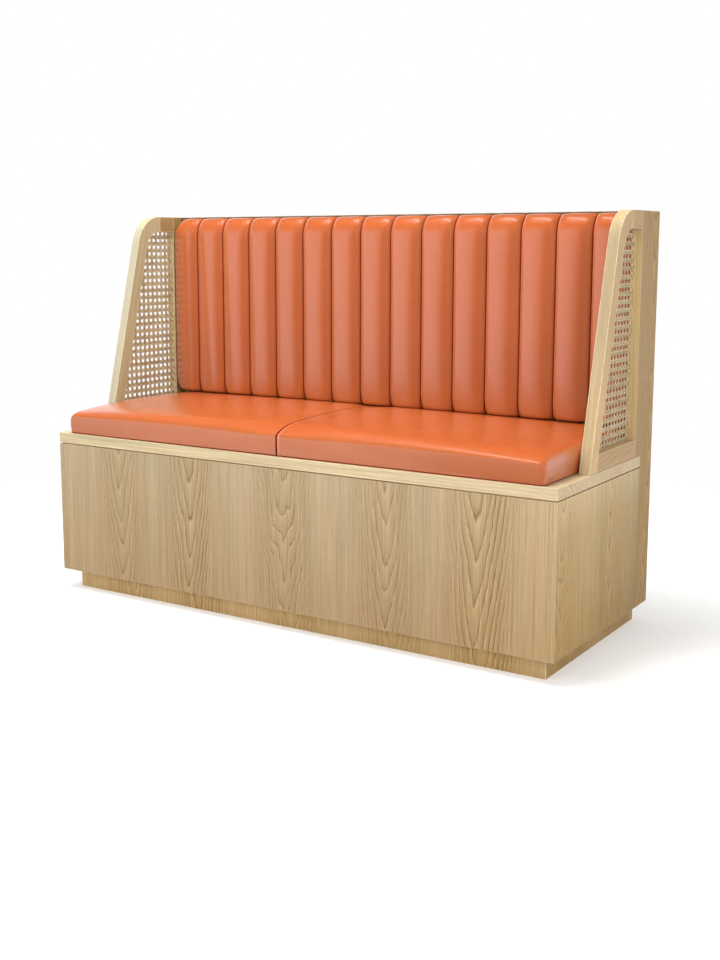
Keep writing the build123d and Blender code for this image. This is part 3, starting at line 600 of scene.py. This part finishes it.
def caneMargin(y, z):  # how far a point lies inside the cane's outline
    c, slope = cane, math.tan(wood["lean"])
    edge = lambda height: c["footFront"] + c["stileWidth"] / leanCos + (height - c["footHeight"]) * slope
    inside = min(z - c["openingLow"], c["openingHigh"] - z, c["openingRear"] - y, (y - edge(z)) * leanCos)
    margin = inside + c["grooveReach"]
    radius = c["cornerRadius"]
    dy = y - (edge(c["openingHigh"]) + radius * math.tan((math.pi / 2 - wood["lean"]) / 2))
    dz = z - (c["openingHigh"] - radius)
    if dy < 0 and dz > -dy * slope:
        margin = min(margin, radius + c["grooveReach"] - math.hypot(dy, dz))
    return margin


# the stretch of a line that lies inside the cane's outline, as two distances along it
def clipStrand(start, way):
    at = lambda t: caneMargin(start[0] + way[0] * t, start[1] + way[1] * t)
    inside = [t for t in np.arange(-0.8, 0.8, 0.002) if at(t) > 0]
    if not inside:
        return None
    ends = []
    for good, bad in ((inside[0], inside[0] - 0.002), (inside[-1], inside[-1] + 0.002)):
        for step in range(12):
            middle = (good + bad) / 2
            good, bad = (middle, bad) if at(middle) > 0 else (good, middle)
        ends.append(good)
    return ends if ends[1] - ends[0] > 0.004 else None


def bump(distance, reach):
    return math.cos(math.pi * distance / (2 * reach)) ** 2 if abs(distance) < reach else 0.0


# rise of one strand of a pair where it weaves through the crossing pair
def pairLift(position, centre, order):
    pitch, gap = cane["pitch"], cane["pairSpread"]
    offset = (position - centre + pitch / 2) % pitch - pitch / 2
    return order * cane["pairRise"] * (bump(offset - gap, 2 * gap) - bump(offset + gap, 2 * gap))


def makeCaneMesh(name, sideSign):
    pitch, gap = cane["pitch"], cane["pairSpread"]
    columnStart = cane["columnStart"][sideSign]
    rowMiddle, columnMiddle = cane["rowStart"] - pitch / 2, columnStart + pitch / 2
    strands = []  # start, direction, step, width and lift of each
    startHeight, startDepth = cane["startHeight"], cane["startDepth"]
    for i in range(-1, cane["columns"]):
        for order in (-1, 1):
            lift = lambda t, o=order: pairLift(startHeight + t, rowMiddle, o)
            y = columnMiddle - i * pitch + order * gap
            strands.append(((y, startHeight), (0, 1), pitch / 10, cane["strandWidth"], lift))
    for j in range(-1, cane["rows"]):
        for order in (-1, 1):
            lift = lambda t, o=order: -pairLift(startDepth + t, columnMiddle, o)
            z = rowMiddle + j * pitch + order * gap
            strands.append(((startDepth, z), (1, 0), pitch / 10, cane["strandWidth"], lift))
    half = math.sqrt(0.5)
    turn = lambda t: 2 * math.pi * (columnStart + half * t - columnMiddle) / pitch
    for k in range(-cane["diagonals"], cane["diagonals"]):
        for way in (1, -1):
            lift = lambda t, o=way: o * cane["diagonalRise"] * math.cos(turn(t))
            start = (columnStart, cane["rowStart"] + (k + 0.5) * pitch)
            strands.append((start, (half, way * half), pitch / 6, cane["diagonalWidth"], lift))
    points, faces, places = [], [], []
    ring = [(0.5, 0.0), (0.27, 0.5), (-0.27, 0.5), (-0.5, 0.0), (-0.27, -0.5), (0.27, -0.5)]
    for number, (start, way, step, width, lift) in enumerate(strands):
        ends = clipStrand(start, way)
        if ends is None:
            continue
        count = max(2, int((ends[1] - ends[0]) / step) + 1)
        vary = noise.random()
        first = len(points)
        for t in np.linspace(ends[0], ends[1], count):
            y, z = start[0] + way[0] * t, start[1] + way[1] * t
            slope = (lift(t + 0.0004) - lift(t - 0.0004)) / 0.0008
            run = Vector((slope, way[0], way[1])).normalized()
            across = Vector((0, -way[1], way[0]))
            normal = run.cross(across)
            centre = Vector((lift(t), y, z))
            for u, v in ring:
                point = centre + across * (u * width) + normal * (v * cane["strandThickness"])
                points.append(((cane["plane"] + point.x) * sideSign, point.y, point.z))
                places.append((t, u, vary))
        for i in range(count - 1):
            a = first + i * 6
            for j in range(6):
                k = (j + 1) % 6
                quad = (a + j, a + k, a + 6 + k, a + 6 + j)
                faces.append(quad if sideSign > 0 else quad[::-1])
        caps = [tuple(range(first, first + 6)), tuple(range(first + 6 * count - 6, first + 6 * count))]
        faces += [caps[0][::-1], caps[1]] if sideSign > 0 else [caps[0], caps[1][::-1]]
    mesh = newMesh(name, points, faces)
    mesh.shade_smooth()
    attribute = mesh.attributes.new("strandPlace", "FLOAT_VECTOR", "POINT")
    attribute.data.foreach_set("vector", np.array(places, np.float32).ravel())
    return mesh


def makeCaneSkin():
    material, shader, place = newMaterial("caneSkin")
    strand = put("Attribute", attribute_name="strandPlace").outputs["Vector"]
    parts = axesOf(strand)
    fibres = stretchedNoise(strand, (60, 14, 90), 3.0, 0.6)
    tone = spread(plus(times(parts[2], 0.6), times(fibres, 0.6)), 0.25, 0.85)
    colour = mixColours(tone, cane["dark"], cane["light"])
    nodes = spread(stretchedNoise(strand, (22, 0.5, 60), 1.0, 0.5, (0, 0, 4)), 0.66, 0.74)
    colour = mixColours(times(nodes, 0.45), colour, cane["knot"])
    # painted shade on each strand's sides, between the strands
    strandEdgeShade = spread(sizeOf(parts[1]), 0.26, 0.47)
    colour = mixColours(times(strandEdgeShade, 0.92), colour, cane["rim"])
    finishSurface(shader, colour, timesPlus(fibres, 0.3, 0.28), fibres, 0.3, 0.0003)
    return material


noise.seed_set(7)
caneSkin = makeCaneSkin()
for side, sign in (("left", -1), ("right", 1)):
    panel = addObject(f"cane_weave_{side}", makeCaneMesh(f"cane_weave_{side}", sign))
    panel.data.materials.append(caneSkin)
    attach(panel, "bench")
    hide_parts(f"wing_{side}_cane")
    print("cane", side, len(panel.data.polygons), "faces")


# leather

leather = {
    "deep": (0.465, 0.098, 0.021),
    "bright": (0.482, 0.106, 0.024),
    "thread": (0.700, 0.200, 0.070, 1),
    "ridgeHighlight": (0.900, 0.420, 0.260, 1),
    "ridgeHighlightShare": 0.34,
    "bounce": (0.400, 0.200, 0.110, 1),  # what other pieces see of it
    "pebble": 0.0013,
    "stitch": 0.0045,
    "puckerWaves": 1396.0,
    "specular": 0.2,
    "coatIor": 1.95,
}


def makeLeather(name, hide):
    material, shader, place = newMaterial(name)
    # each hide's shade scales the leather's colour, so seat and back are lit and shaded copies of one
    # leather: painted light
    deep, bright = (tuple(part * hide["shade"] for part in leather[key]) + (1,) for key in ("deep", "bright"))
    inputs = {"Place": place, "Deep": deep, "Bright": bright, "Pebble": leather["pebble"]}
    skin = useGroup(leatherHide, inputs)
    colour, height = skin["Color"], skin["Height"]
    # painted shade on the seat's faces turned to the front
    if hide["front"]:
        colour = useGroup(frontFaceShade, {"Color": colour, "Shade": hide["front"]})["Color"]
    seams = useGroup(leatherSeams, {
        "Place": place, "Every": hide["seamEvery"], "Start": hide["seamStart"], "Half": hide["seamHalf"],
        "Foot": hide["foot"], "Foot Shade": hide["footShade"]})
    gap, away = seams["Gap"], seams["Away"]
    # painted highlight beside one side of each seam
    colour = mixColours(times(seams["Ridge"], leather["ridgeHighlightShare"]), colour, leather["ridgeHighlight"])
    # painted shade in the seams, in the slit between the seat cushions and at the foot
    colour = mixColours(gap, colour, hide["seamShadeColour"])
    if hide["stitched"]:
        up = axesOf(place)[2]
        beat = beatOf(up, leather["stitch"])
        stitch = times(spread(beat, 0.12, 0.2), spread(beat, 0.8, 0.9, 1.0, 0.0))
        stitch = times(stitch, spread(away, 0.0003, 0.0006, 1.0, 0.0))
        colour = mixColours(times(stitch, 0.2), colour, leather["thread"])
        wave = calc("SINE", times(up, leather["puckerWaves"]))
        pucker = times(spread(away, 0.001, 0.009, 1.0, 0.0), wave)
        height = timesPlus(pucker, 0.05, height)
    bounced = put("LightPath").outputs["Is Diffuse Ray"]
    colour = mixColours(bounced, colour, leather["bounce"])
    # the painted shade also takes off the gloss there
    finishSurface(shader, colour, larger(skin["Roughness"], gap), height, 0.35, 0.0006)
    feed(shader.inputs["Coat Weight"], minus(1.0, gap))
    shader.inputs["Specular IOR Level"].default_value = leather["specular"]
    shader.inputs["Coat IOR"].default_value = leather["coatIor"]
    shader.inputs["Coat Roughness"].default_value = hide["rough"]
    return material


# height lost near an edge that is rounded over the radius
def edgeDrop(distance, radius):
    left = np.clip(1 - distance / radius, 0, 1)
    return radius * (1 - np.sqrt(1 - left ** 2))


# places along a length, close together where the ends are rounded
def stations(length, firstRadius, lastRadius, step, count=7):
    turn = 1 - np.cos(np.linspace(0, math.pi / 2, count))
    middle = length - firstRadius - lastRadius
    inner = firstRadius + middle * np.linspace(0, 1, max(2, round(middle / step)) + 1)[1:-1]
    return np.concatenate([firstRadius * turn, inner, length - lastRadius * turn[::-1]])


cloth = {"frames": 20, "quality": 6, "mass": 0.3, "stretch": 40, "bend": 2, "blurShare": 0.6}


# the points of a sheet after a little cloth pressure, none moved further than the cap
def softenSheet(name, points, faces, held, pressure, cap, blur):
    mesh = newMesh(name, [tuple(p) for p in points], faces)
    sheet = addObject(name, mesh)
    group = sheet.vertex_groups.new(name="held")
    for weight in np.unique(held):
        if weight > 0:
            group.add([int(i) for i in np.nonzero(held == weight)[0]], float(weight), "REPLACE")
    modifier = sheet.modifiers.new("cloth", "CLOTH")
    settings = modifier.settings
    settings.quality = cloth["quality"]
    settings.mass = cloth["mass"]
    settings.use_pressure = True
    settings.uniform_pressure_force = pressure
    settings.tension_stiffness = settings.compression_stiffness = cloth["stretch"]
    settings.bending_stiffness = cloth["bend"]
    settings.effector_weights.gravity = 0
    settings.vertex_group_mass = "held"
    modifier.point_cache.frame_start, modifier.point_cache.frame_end = 1, cloth["frames"]
    for step in range(1, cloth["frames"] + 1):
        scene.frame_set(step)
    blown = sheet.evaluated_get(bpy.context.evaluated_depsgraph_get()).to_mesh()
    found = np.zeros(len(points) * 3)
    blown.vertices.foreach_get("co", found)
    moved = found.reshape(-1, 3) - points
    pairs = np.array([(f[k], f[(k + 1) % len(f)]) for f in faces for k in range(len(f))])
    start, end = np.concatenate([pairs, pairs[:, ::-1]]).T
    share = np.bincount(start, minlength=len(points))[:, None]
    for step in range(blur):  # fine puckers are averaged away and the broad swells stay
        around = np.stack([np.bincount(start, moved[end, axis], len(points)) for axis in range(3)], -1)
        mean = (1 - cloth["blurShare"]) * moved + cloth["blurShare"] * around / share
        moved = np.where(held[:, None] < 1, mean, moved)
    length = np.linalg.norm(moved, axis=1, keepdims=True)
    print(name, "moved by up to", round(float(length.max()) * 1000, 1), "mm")
    bpy.data.objects.remove(sheet)
    bpy.data.meshes.remove(mesh)
    scene.frame_set(1)
    return points + moved * np.minimum(1, cap / np.maximum(length, 1e-9))


def gridFaces(columns, rows, first=0, flip=False):
    faces = []
    for i in range(columns - 1):
        for j in range(rows - 1):
            a = first + i * rows + j
            quad = (a, a + rows, a + rows + 1, a + 1)
            faces.append(quad[::-1] if flip else quad)
    return faces


def borderLoop(columns, rows):  # indices round a grid's border, counter-clockwise seen from its front
    return ([i * rows for i in range(columns)] + [(columns - 1) * rows + j for j in range(1, rows)]
            + [i * rows + rows - 1 for i in range(columns - 2, -1, -1)] + [j for j in range(rows - 2, 0, -1)])


# joins a border to the rings of points that follow it, and returns the last ring
def addWalls(faces, loop, start, levels):
    length = len(loop)
    rings = [loop] + [[start + level * length + k for k in range(length)] for level in range(levels)]
    for upper, lower in zip(rings, rings[1:]):
        for k in range(length):
            n = (k + 1) % length
            faces.append((upper[k], lower[k], lower[n], upper[n]))
    return rings[-1]


seatCushion = {
    "middleCrown": 0.0805, "endCrown": 0.0672, "crownPower": 2.6,
    "middleFront": 0.0465, "fullFront": 0.0490, "frontReach": 0.10, "endDrop": 0.004, "dropPower": 8,
    "middleRun": 0.080, "endRun": 0.027, "runReach": 0.15,
    "middleRear": 0.0690, "endRear": 0.0668,
    "peak": 0.28, "frontFall": 0.0122, "fallPower": 2.2, "edgePower": 1.9,
    "rearRun": 0.012, "rearHeight": 0.060,
    "innerRadius": 0.0016, "outerRadius": 0.020, "frontRound": 0.027, "rearRound": 0.018,
    "innerCorner": 0.002, "outerCorner": 0.017,
    "foot": 0.0065, "tuckIn": 0.0045, "footTuck": 0.8, "innerSide": 0.004, "innerPull": 0.25,
    "wallShares": (0.9, 0.76, 0.58, 0.4, 0.2, 0.0), "footShares": (0.7, 0.45, 0.25, 0.1), "underShare": 0.98,
    "step": 0.007,
    "pressure": 2.5, "cap": 0.0035, "blur": 40,
    "hold": 0.9, "holdReach": 0.11, "holdHeight": 0.02, "lowest": 0.0004,
    "fill": 0.85,
}
seatHide = {
    "shade": 1.24, "rough": 0.27, "seamShadeColour": (0.210, 0.018, 0.004, 1), "seamHalf": 0.0028,
    "seamEvery": 10.0, "seamStart": 0.0,  # only the slit between the two cushions
    "foot": wood["deckTop"], "footShade": 0.95, "front": (0.84, 0.93, 0.95, 1), "stitched": False,
}


# the points of a sheet with its corners rounded, seen from above
def roundCorners(xx, yy, width, depth, innerCorner, outerCorner):
    px, py = xx.copy(), yy.copy()
    for nearX, corner in ((True, innerCorner), (False, outerCorner)):
        for nearY in (True, False):
            dx = (corner - xx) if nearX else (xx - width + corner)
            dy = (corner - yy) if nearY else (yy - depth + corner)
            inCorner = (dx > 0) & (dy > 0)
            u, v = np.clip(dx / corner, 0, 1), np.clip(dy / corner, 0, 1)
            newX, newY = u * np.sqrt(1 - v ** 2 / 2) * corner, v * np.sqrt(1 - u ** 2 / 2) * corner
            px = np.where(inCorner, corner - newX if nearX else width - corner + newX, px)
            py = np.where(inCorner, corner - newY if nearY else depth - corner + newY, py)
    return px, py


def makeSeatCushion(side, sign):
    low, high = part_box(f"seat_{side}_pad")
    inner, outer = min(abs(low.x), abs(high.x)), max(abs(low.x), abs(high.x))
    width, depth, base = outer - inner, high.y - low.y, low.z
    s = seatCushion
    xs = stations(width, s["innerRadius"], s["outerRadius"], s["step"])
    ys = stations(depth, s["frontRound"], s["rearRound"], s["step"], 11)
    xx, yy = np.meshgrid(xs, ys, indexing="ij")
    blend = (xx / width) ** s["crownPower"]
    mix = lambda a, b: s[a] + (s[b] - s[a]) * blend
    crown, rear = mix("middleCrown", "endCrown"), mix("middleRear", "endRear")
    front = s["fullFront"] - (s["fullFront"] - s["middleFront"]) * np.exp(-xx / s["frontReach"])
    front = front - s["endDrop"] * (xx / width) ** s["dropPower"]
    run = s["endRun"] + (s["middleRun"] - s["endRun"]) * np.exp(-xx / s["runReach"])
    ahead = np.clip(1 - yy / s["peak"], 0, 1)
    behind = np.clip((yy - s["peak"]) / (depth - s["rearRun"] - s["peak"]), 0, None)
    dome = crown - s["frontFall"] * ahead ** 2 - (crown - rear) * behind ** s["fallPower"]
    curve = lambda t: 1 - (1 - np.clip(1 - t, 0, 1) ** s["edgePower"]) ** (1 / s["edgePower"])
    top = dome - (dome[:, :1] - front) * curve(yy / run)
    top -= (dome[:, -1:] - s["rearHeight"]) * curve((depth - yy) / s["rearRun"])
    top -= edgeDrop(xx, s["innerRadius"]) + edgeDrop(width - xx, s["outerRadius"])
    px, py = roundCorners(xx, yy, width, depth, s["innerCorner"], s["outerCorner"])
    columns, rows = len(xs), len(ys)
    topPoints = np.stack([px, py, top], -1).reshape(-1, 3)
    loop = borderLoop(columns, rows)
    points, faces = [topPoints], gridFaces(columns, rows)
    rim = topPoints[loop]
    along = np.roll(rim, -1, 0)[:, :2] - np.roll(rim, 1, 0)[:, :2]
    along /= np.linalg.norm(along, axis=1, keepdims=True)
    pull = np.where(rim[:, :1] < s["innerSide"], s["innerPull"], 1.0)
    outward = np.stack([along[:, 1], -along[:, 0]], -1) * pull
    # walls that pull in at the foot
    foot = s["foot"]
    heights = [foot + (rim[:, 2] - foot) * share for share in s["wallShares"]]
    heights += [np.full(len(rim), foot * share) for share in s["footShares"]]
    for level in heights:
        wall = rim.copy()
        inward = s["tuckIn"] * (1 - np.clip(level / rim[:, 2], 0, 1)) ** 2
        inward += edgeDrop(level, foot) * s["footTuck"]
        wall[:, :2] -= outward * inward[:, None]
        wall[:, 2] = level
        points.append(wall)
    allPoints = np.concatenate(points)
    lowerRing = addWalls(faces, loop, len(topPoints), len(heights))
    held = np.clip(1 - allPoints[:, 0] / s["holdReach"], 0, 1) ** 2 * s["hold"]
    held = np.maximum(held, np.clip(1 - allPoints[:, 2] / s["holdHeight"], 0, 1) * s["hold"])
    held[-len(loop):] = 1.0
    name = f"cushion_{side}_cloth"
    shape = softenSheet(name, allPoints, faces, np.round(held, 2), s["pressure"], s["cap"], s["blur"])
    shape[:, 0] = np.clip(shape[:, 0], 0.0, width)
    shape[:, 1] = np.clip(shape[:, 1], 0.0, depth)
    shape[:, 2] = np.maximum(shape[:, 2], s["lowest"])
    allPoints = shape
    # the flat underside
    bottomStart = len(allPoints)
    bottom = topPoints.copy()
    bottom[:, 2] = foot * s["footShares"][-1]
    middle = np.array([width / 2, depth / 2])
    bottom[:, :2] = middle + (bottom[:, :2] - middle) * s["underShare"]
    joined = {bottomStart + b: lowerRing[k] for k, b in enumerate(loop)}
    allPoints = np.concatenate([allPoints, bottom])
    for quad in gridFaces(columns, rows, bottomStart, True):
        faces.append(tuple(joined.get(i, i) for i in quad))
    world = np.stack([(allPoints[:, 0] + inner) * sign, allPoints[:, 1] + low.y, allPoints[:, 2] + base], -1)
    if sign < 0:
        faces = [f[::-1] for f in faces]
    return buildPiece(f"seat_cushion_{side}_cover", world, faces)


def buildPiece(name, points, faces):
    used = sorted({i for f in faces for i in f})
    renumber = {old: new for new, old in enumerate(used)}
    mesh = newMesh(name, [tuple(points[i]) for i in used], [tuple(renumber[i] for i in f) for f in faces])
    mesh.shade_smooth()
    piece = addObject(name, mesh)
    smooth = piece.modifiers.new("smooth", "SUBSURF")
    smooth.levels = smooth.render_levels = 1
    return piece


backCushion = {
    "channels": 15,
    "turns": 16,  # columns of faces in a channel
    "halfWidth": 0.6934,
    "low": 0.4979, "high": 1.001,
    "rear": 0.2032,
    "seamDepth": 0.0345, "rise": 0.0175, "risePower": 2.7, "seamPower": 1.9,
    "rimDepth": 0.008, "rimRise": 0.004,
    "edgeRound": 0.048, "crestRound": 0.012,
    "topRound": 0.054, "topPower": 2.2, "topCrest": 0.050, "crestPower": 2.4,
    "cornerRound": 0.026, "sideEase": 0.009,
    "notch": 0.0028,
    "step": 0.0075,
    "wallLevels": 4,
    "pressure": 3.0, "cap": 0.0025, "blur": 24,
    "fill": 0.8,
}
channelPitch = 2 * backCushion["halfWidth"] / backCushion["channels"]
channelHide = {
    "shade": 1.05, "rough": 0.21, "seamShadeColour": (0.240, 0.020, 0.004, 1), "seamHalf": 0.0016,
    "seamEvery": channelPitch, "seamStart": -backCushion["halfWidth"],
    "foot": backCushion["low"], "footShade": 0.3, "front": None, "stitched": True,
}


def makeBackCushion():
    c, pitch = backCushion, channelPitch
    turns = c["turns"]
    ts = np.sin(math.pi / 2 * np.linspace(-1, 1, turns + 1))
    t = np.concatenate([ts[:-1]] * c["channels"] + [ts[-1:]])
    middles = [np.full(turns, -c["halfWidth"] + (i + 0.5) * pitch) for i in range(c["channels"])]
    centre = np.concatenate(middles + [[c["halfWidth"] - 0.5 * pitch]])
    xs = centre + t * pitch / 2
    height = c["high"] - c["low"]
    zs = stations(height, c["edgeRound"], c["edgeRound"], c["step"], 13)
    profile = (1 - np.abs(t) ** c["risePower"]) ** (1 / c["seamPower"])
    tt, zz = np.meshgrid(profile, zs, indexing="ij")
    xx = np.repeat(xs[:, None], len(zs), 1)
    away = np.minimum(zz, height - zz)
    fromEdge = lambda reach, power: np.clip(1 - away / reach, 0, 1) ** power
    upper = zz > height / 2
    full = np.where(
        upper, 1 - fromEdge(c["topRound"], c["topPower"]), np.sqrt(1 - fromEdge(c["edgeRound"], 2)))
    fullCrest = np.sqrt(1 - np.where(
        upper, fromEdge(c["topCrest"], c["crestPower"]), fromEdge(c["crestRound"], 2)))
    seam = c["rimDepth"] + (c["seamDepth"] - c["rimDepth"]) * full
    rimCrest = c["rimDepth"] + c["rimRise"]
    crest = rimCrest + (c["seamDepth"] + c["rise"] - rimCrest) * fullCrest
    bulge = seam + tt * (crest - seam)
    fromCrown = np.clip((np.abs(xx) - c["halfWidth"] + pitch / 2) / (pitch / 2), 0, 1)
    bulge -= c["sideEase"] * fromCrown ** 2 * full
    inward = np.where(upper, -1, 1)
    rowHeights = zz + inward * c["notch"] * (1 - tt) * (1 - full)
    limit = c["halfWidth"] - c["cornerRound"] * (1 - full)
    lastSeam = c["halfWidth"] - pitch
    squeeze = (limit - lastSeam) / pitch
    xx = np.where(np.abs(xx) > lastSeam, np.sign(xx) * (lastSeam + (np.abs(xx) - lastSeam) * squeeze), xx)
    columns, rows = len(xs), len(zs)
    front = np.stack([xx, c["rear"] - bulge, c["low"] + rowHeights], -1).reshape(-1, 3)
    faces = gridFaces(columns, rows)
    loop = borderLoop(columns, rows)
    held = np.zeros(len(front))
    held[loop] = 1.0
    held.reshape(columns, rows)[::turns, :] = 1.0
    front = softenSheet("cushion_back_cloth", front, faces, held, c["pressure"], c["cap"], c["blur"])
    front[:, 0] = np.clip(front[:, 0], -c["halfWidth"], c["halfWidth"])
    front[:, 2] = np.clip(front[:, 2], c["low"], c["high"])
    points = [front]
    for level in range(1, c["wallLevels"] + 1):
        wall = front[loop]
        wall[:, 1] += (c["rear"] - wall[:, 1]) * level / c["wallLevels"]
        points.append(wall)
    lastRing = addWalls(faces, loop, len(front), c["wallLevels"])
    # the flat rear is closed with one strip behind each column, from the lower edge to the upper one
    ring = dict(zip(loop, lastRing))
    for i in range(columns - 1):
        left = [ring[j] for j in range(1, rows - 1)] if i == 0 else []
        right = [ring[(i + 1) * rows + j] for j in range(rows - 2, 0, -1)] if i == columns - 2 else []
        head = [ring[(i + k) * rows + rows - 1] for k in (0, 1)]
        faces.append(tuple([ring[i * rows]] + left + head + right + [ring[(i + 1) * rows]]))
    return buildPiece("back_cushion_cover", np.concatenate(points), faces)


seatLeather = makeLeather("seatLeather", seatHide)
channelLeather = makeLeather("channelLeather", channelHide)

for side, sign in (("left", -1), ("right", 1)):
    cushion = makeSeatCushion(side, sign)
    cushion.data.materials.append(seatLeather)
    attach(cushion, f"seat_cushion_{side}")
    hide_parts(f"seat_{side}_pad")
    print("seat cushion", side, len(cushion.data.polygons), "faces")

backPiece = makeBackCushion()
backPiece.data.materials.append(channelLeather)
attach(backPiece, "bench")
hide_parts("back_pad")
print("back cushion", len(backPiece.data.polygons), "faces")


# camera, floor and light

studio = {
    "cameraPlace": (1.7250, -2.6379, 0.9271),
    "cameraTilt": 81.50,
    "cameraTurn": 33.05,
    "lens": 46.63,
    "shift": (0.0167, -0.0518),
    "floorHalf": 30,
    "floorHeight": -0.0005,
    "floorTone": 0.82,
    "floorGlow": 0.30,
    "skyLight": 0.50,
    "mirrorDark": 0.10,
    "mirrorNear": 0.50,
}

camera = addObject("camera", bpy.data.cameras.new("camera"))
camera.location = studio["cameraPlace"]
camera.rotation_euler = (math.radians(studio["cameraTilt"]), 0, math.radians(studio["cameraTurn"]))
camera.data.lens = studio["lens"]
camera.data.shift_x, camera.data.shift_y = studio["shift"]
scene.camera = camera


def seenRay():
    path = put("LightPath").outputs
    mirrored = larger(path["Is Glossy Ray"], path["Is Transmission Ray"])
    return larger(path["Is Camera Ray"], mirrored)


def plainGlow(strength):
    return put("Emission", {"Color": (1, 1, 1, 1), "Strength": strength}).outputs[0]


def makeFloor():
    half = studio["floorHalf"]
    corners = [(-half, -half, 0), (half, -half, 0), (half, half, 0), (-half, half, 0)]
    floor = addObject("studio_floor", newMesh("studio_floor", corners, [(0, 1, 2, 3)]))
    floor.location.z = studio["floorHeight"]
    material = bpy.data.materials.new("studioFloor")
    material.use_nodes = True
    opened["tree"] = material.node_tree
    material.node_tree.nodes.clear()
    place = put("TexCoord").outputs["Object"]
    reach = put("VectorMath", {0: place}, operation="LENGTH").outputs["Value"]
    grit = stretchedNoise(place, (300, 300, 300))
    tone = greyOf(timesPlus(grit, 0.02, studio["floorTone"]))
    plain = put("BsdfDiffuse", {"Color": tone}).outputs[0]
    seen = seenRay()
    flat = axesOf(place)
    # the floor to the front right and near the bench is dark in the leather's reflection
    toRight = spread(calc("DIVIDE", flat[0], reach), -0.6, 0.05)
    corner = times(toRight, spread(calc("DIVIDE", flat[1], reach), 0.1, -0.25))
    near = spread(reach, 1.3, 4.0, studio["mirrorNear"], 0.0)
    hidden = larger(corner, near)
    hidden = times(hidden, put("LightPath").outputs["Is Glossy Ray"])
    glow = plainGlow(times(seen, studio["floorGlow"]))
    lit = put("AddShader", {0: plain, 1: glow}).outputs[0]
    far = times(seen, spread(reach, 1.0, 2.2))
    surface = put("MixShader", {0: far, 1: lit, 2: plainGlow(1.0)}).outputs[0]
    dark = plainGlow(studio["mirrorDark"])
    surface = put("MixShader", {0: hidden, 1: surface, 2: dark}).outputs[0]
    put("OutputMaterial", {"Surface": surface})
    floor.data.materials.append(material)


def makeWorld():
    world = bpy.data.worlds.new("studio")
    world.use_nodes = True
    opened["tree"] = world.node_tree
    ground = world.node_tree.nodes["Background"]
    ground.inputs["Color"].default_value = (1, 1, 1, 1)
    path = put("LightPath").outputs
    way = axesOf(put("TexCoord").outputs["Generated"])
    ahead = spread(way[1], 0.1, -0.25)
    high = spread(way[2], 0.0, 0.48)
    toRight = spread(way[0], -0.6, 0.05)
    dim = times(ahead, larger(high, toRight))
    dim = larger(dim, spread(way[2], 0.35, 0.6))
    mirrored = timesPlus(dim, studio["mirrorDark"] - 1, 1.0)
    change = minus(mirrored, studio["skyLight"])
    level = timesPlus(path["Is Glossy Ray"], change, studio["skyLight"])
    shown = larger(path["Is Camera Ray"], path["Is Transmission Ray"])
    level = timesPlus(shown, minus(1.0, level), level)
    feed(ground.inputs["Strength"], level)
    scene.world = world


def addLamp(name, place, target, size, power, mirrored=False):
    data = bpy.data.lights.new(name, "AREA")
    data.shape = "RECTANGLE"
    data.size, data.size_y = size
    data.energy = power
    lamp = addObject(name, data)
    lamp.location = place
    lamp.visible_glossy = mirrored
    lamp.rotation_euler = (Vector(target) - Vector(place)).to_track_quat("-Z", "Y").to_euler()


makeFloor()
makeWorld()
addLamp("keySoftbox", (-2.4, -4.6, 2.6), (0, 0, 0.5), (3.6, 3.0), 94)
addLamp("topSoftbox", (-0.4, -0.5, 3.2), (0.1, 0, 0.4), (1.8, 1.2), 92)
addLamp("glintSoftbox", (0.1, -0.3, 3.3), (0.3, 0, 0.6), (2.2, 0.5), 8, True)
addLamp("fillSoftbox", (3.6, -3.4, 1.9), (0.3, 0, 0.5), (2.4, 2.4), 84)
scene.view_settings.view_transform = "Standard"
print("studio ready")
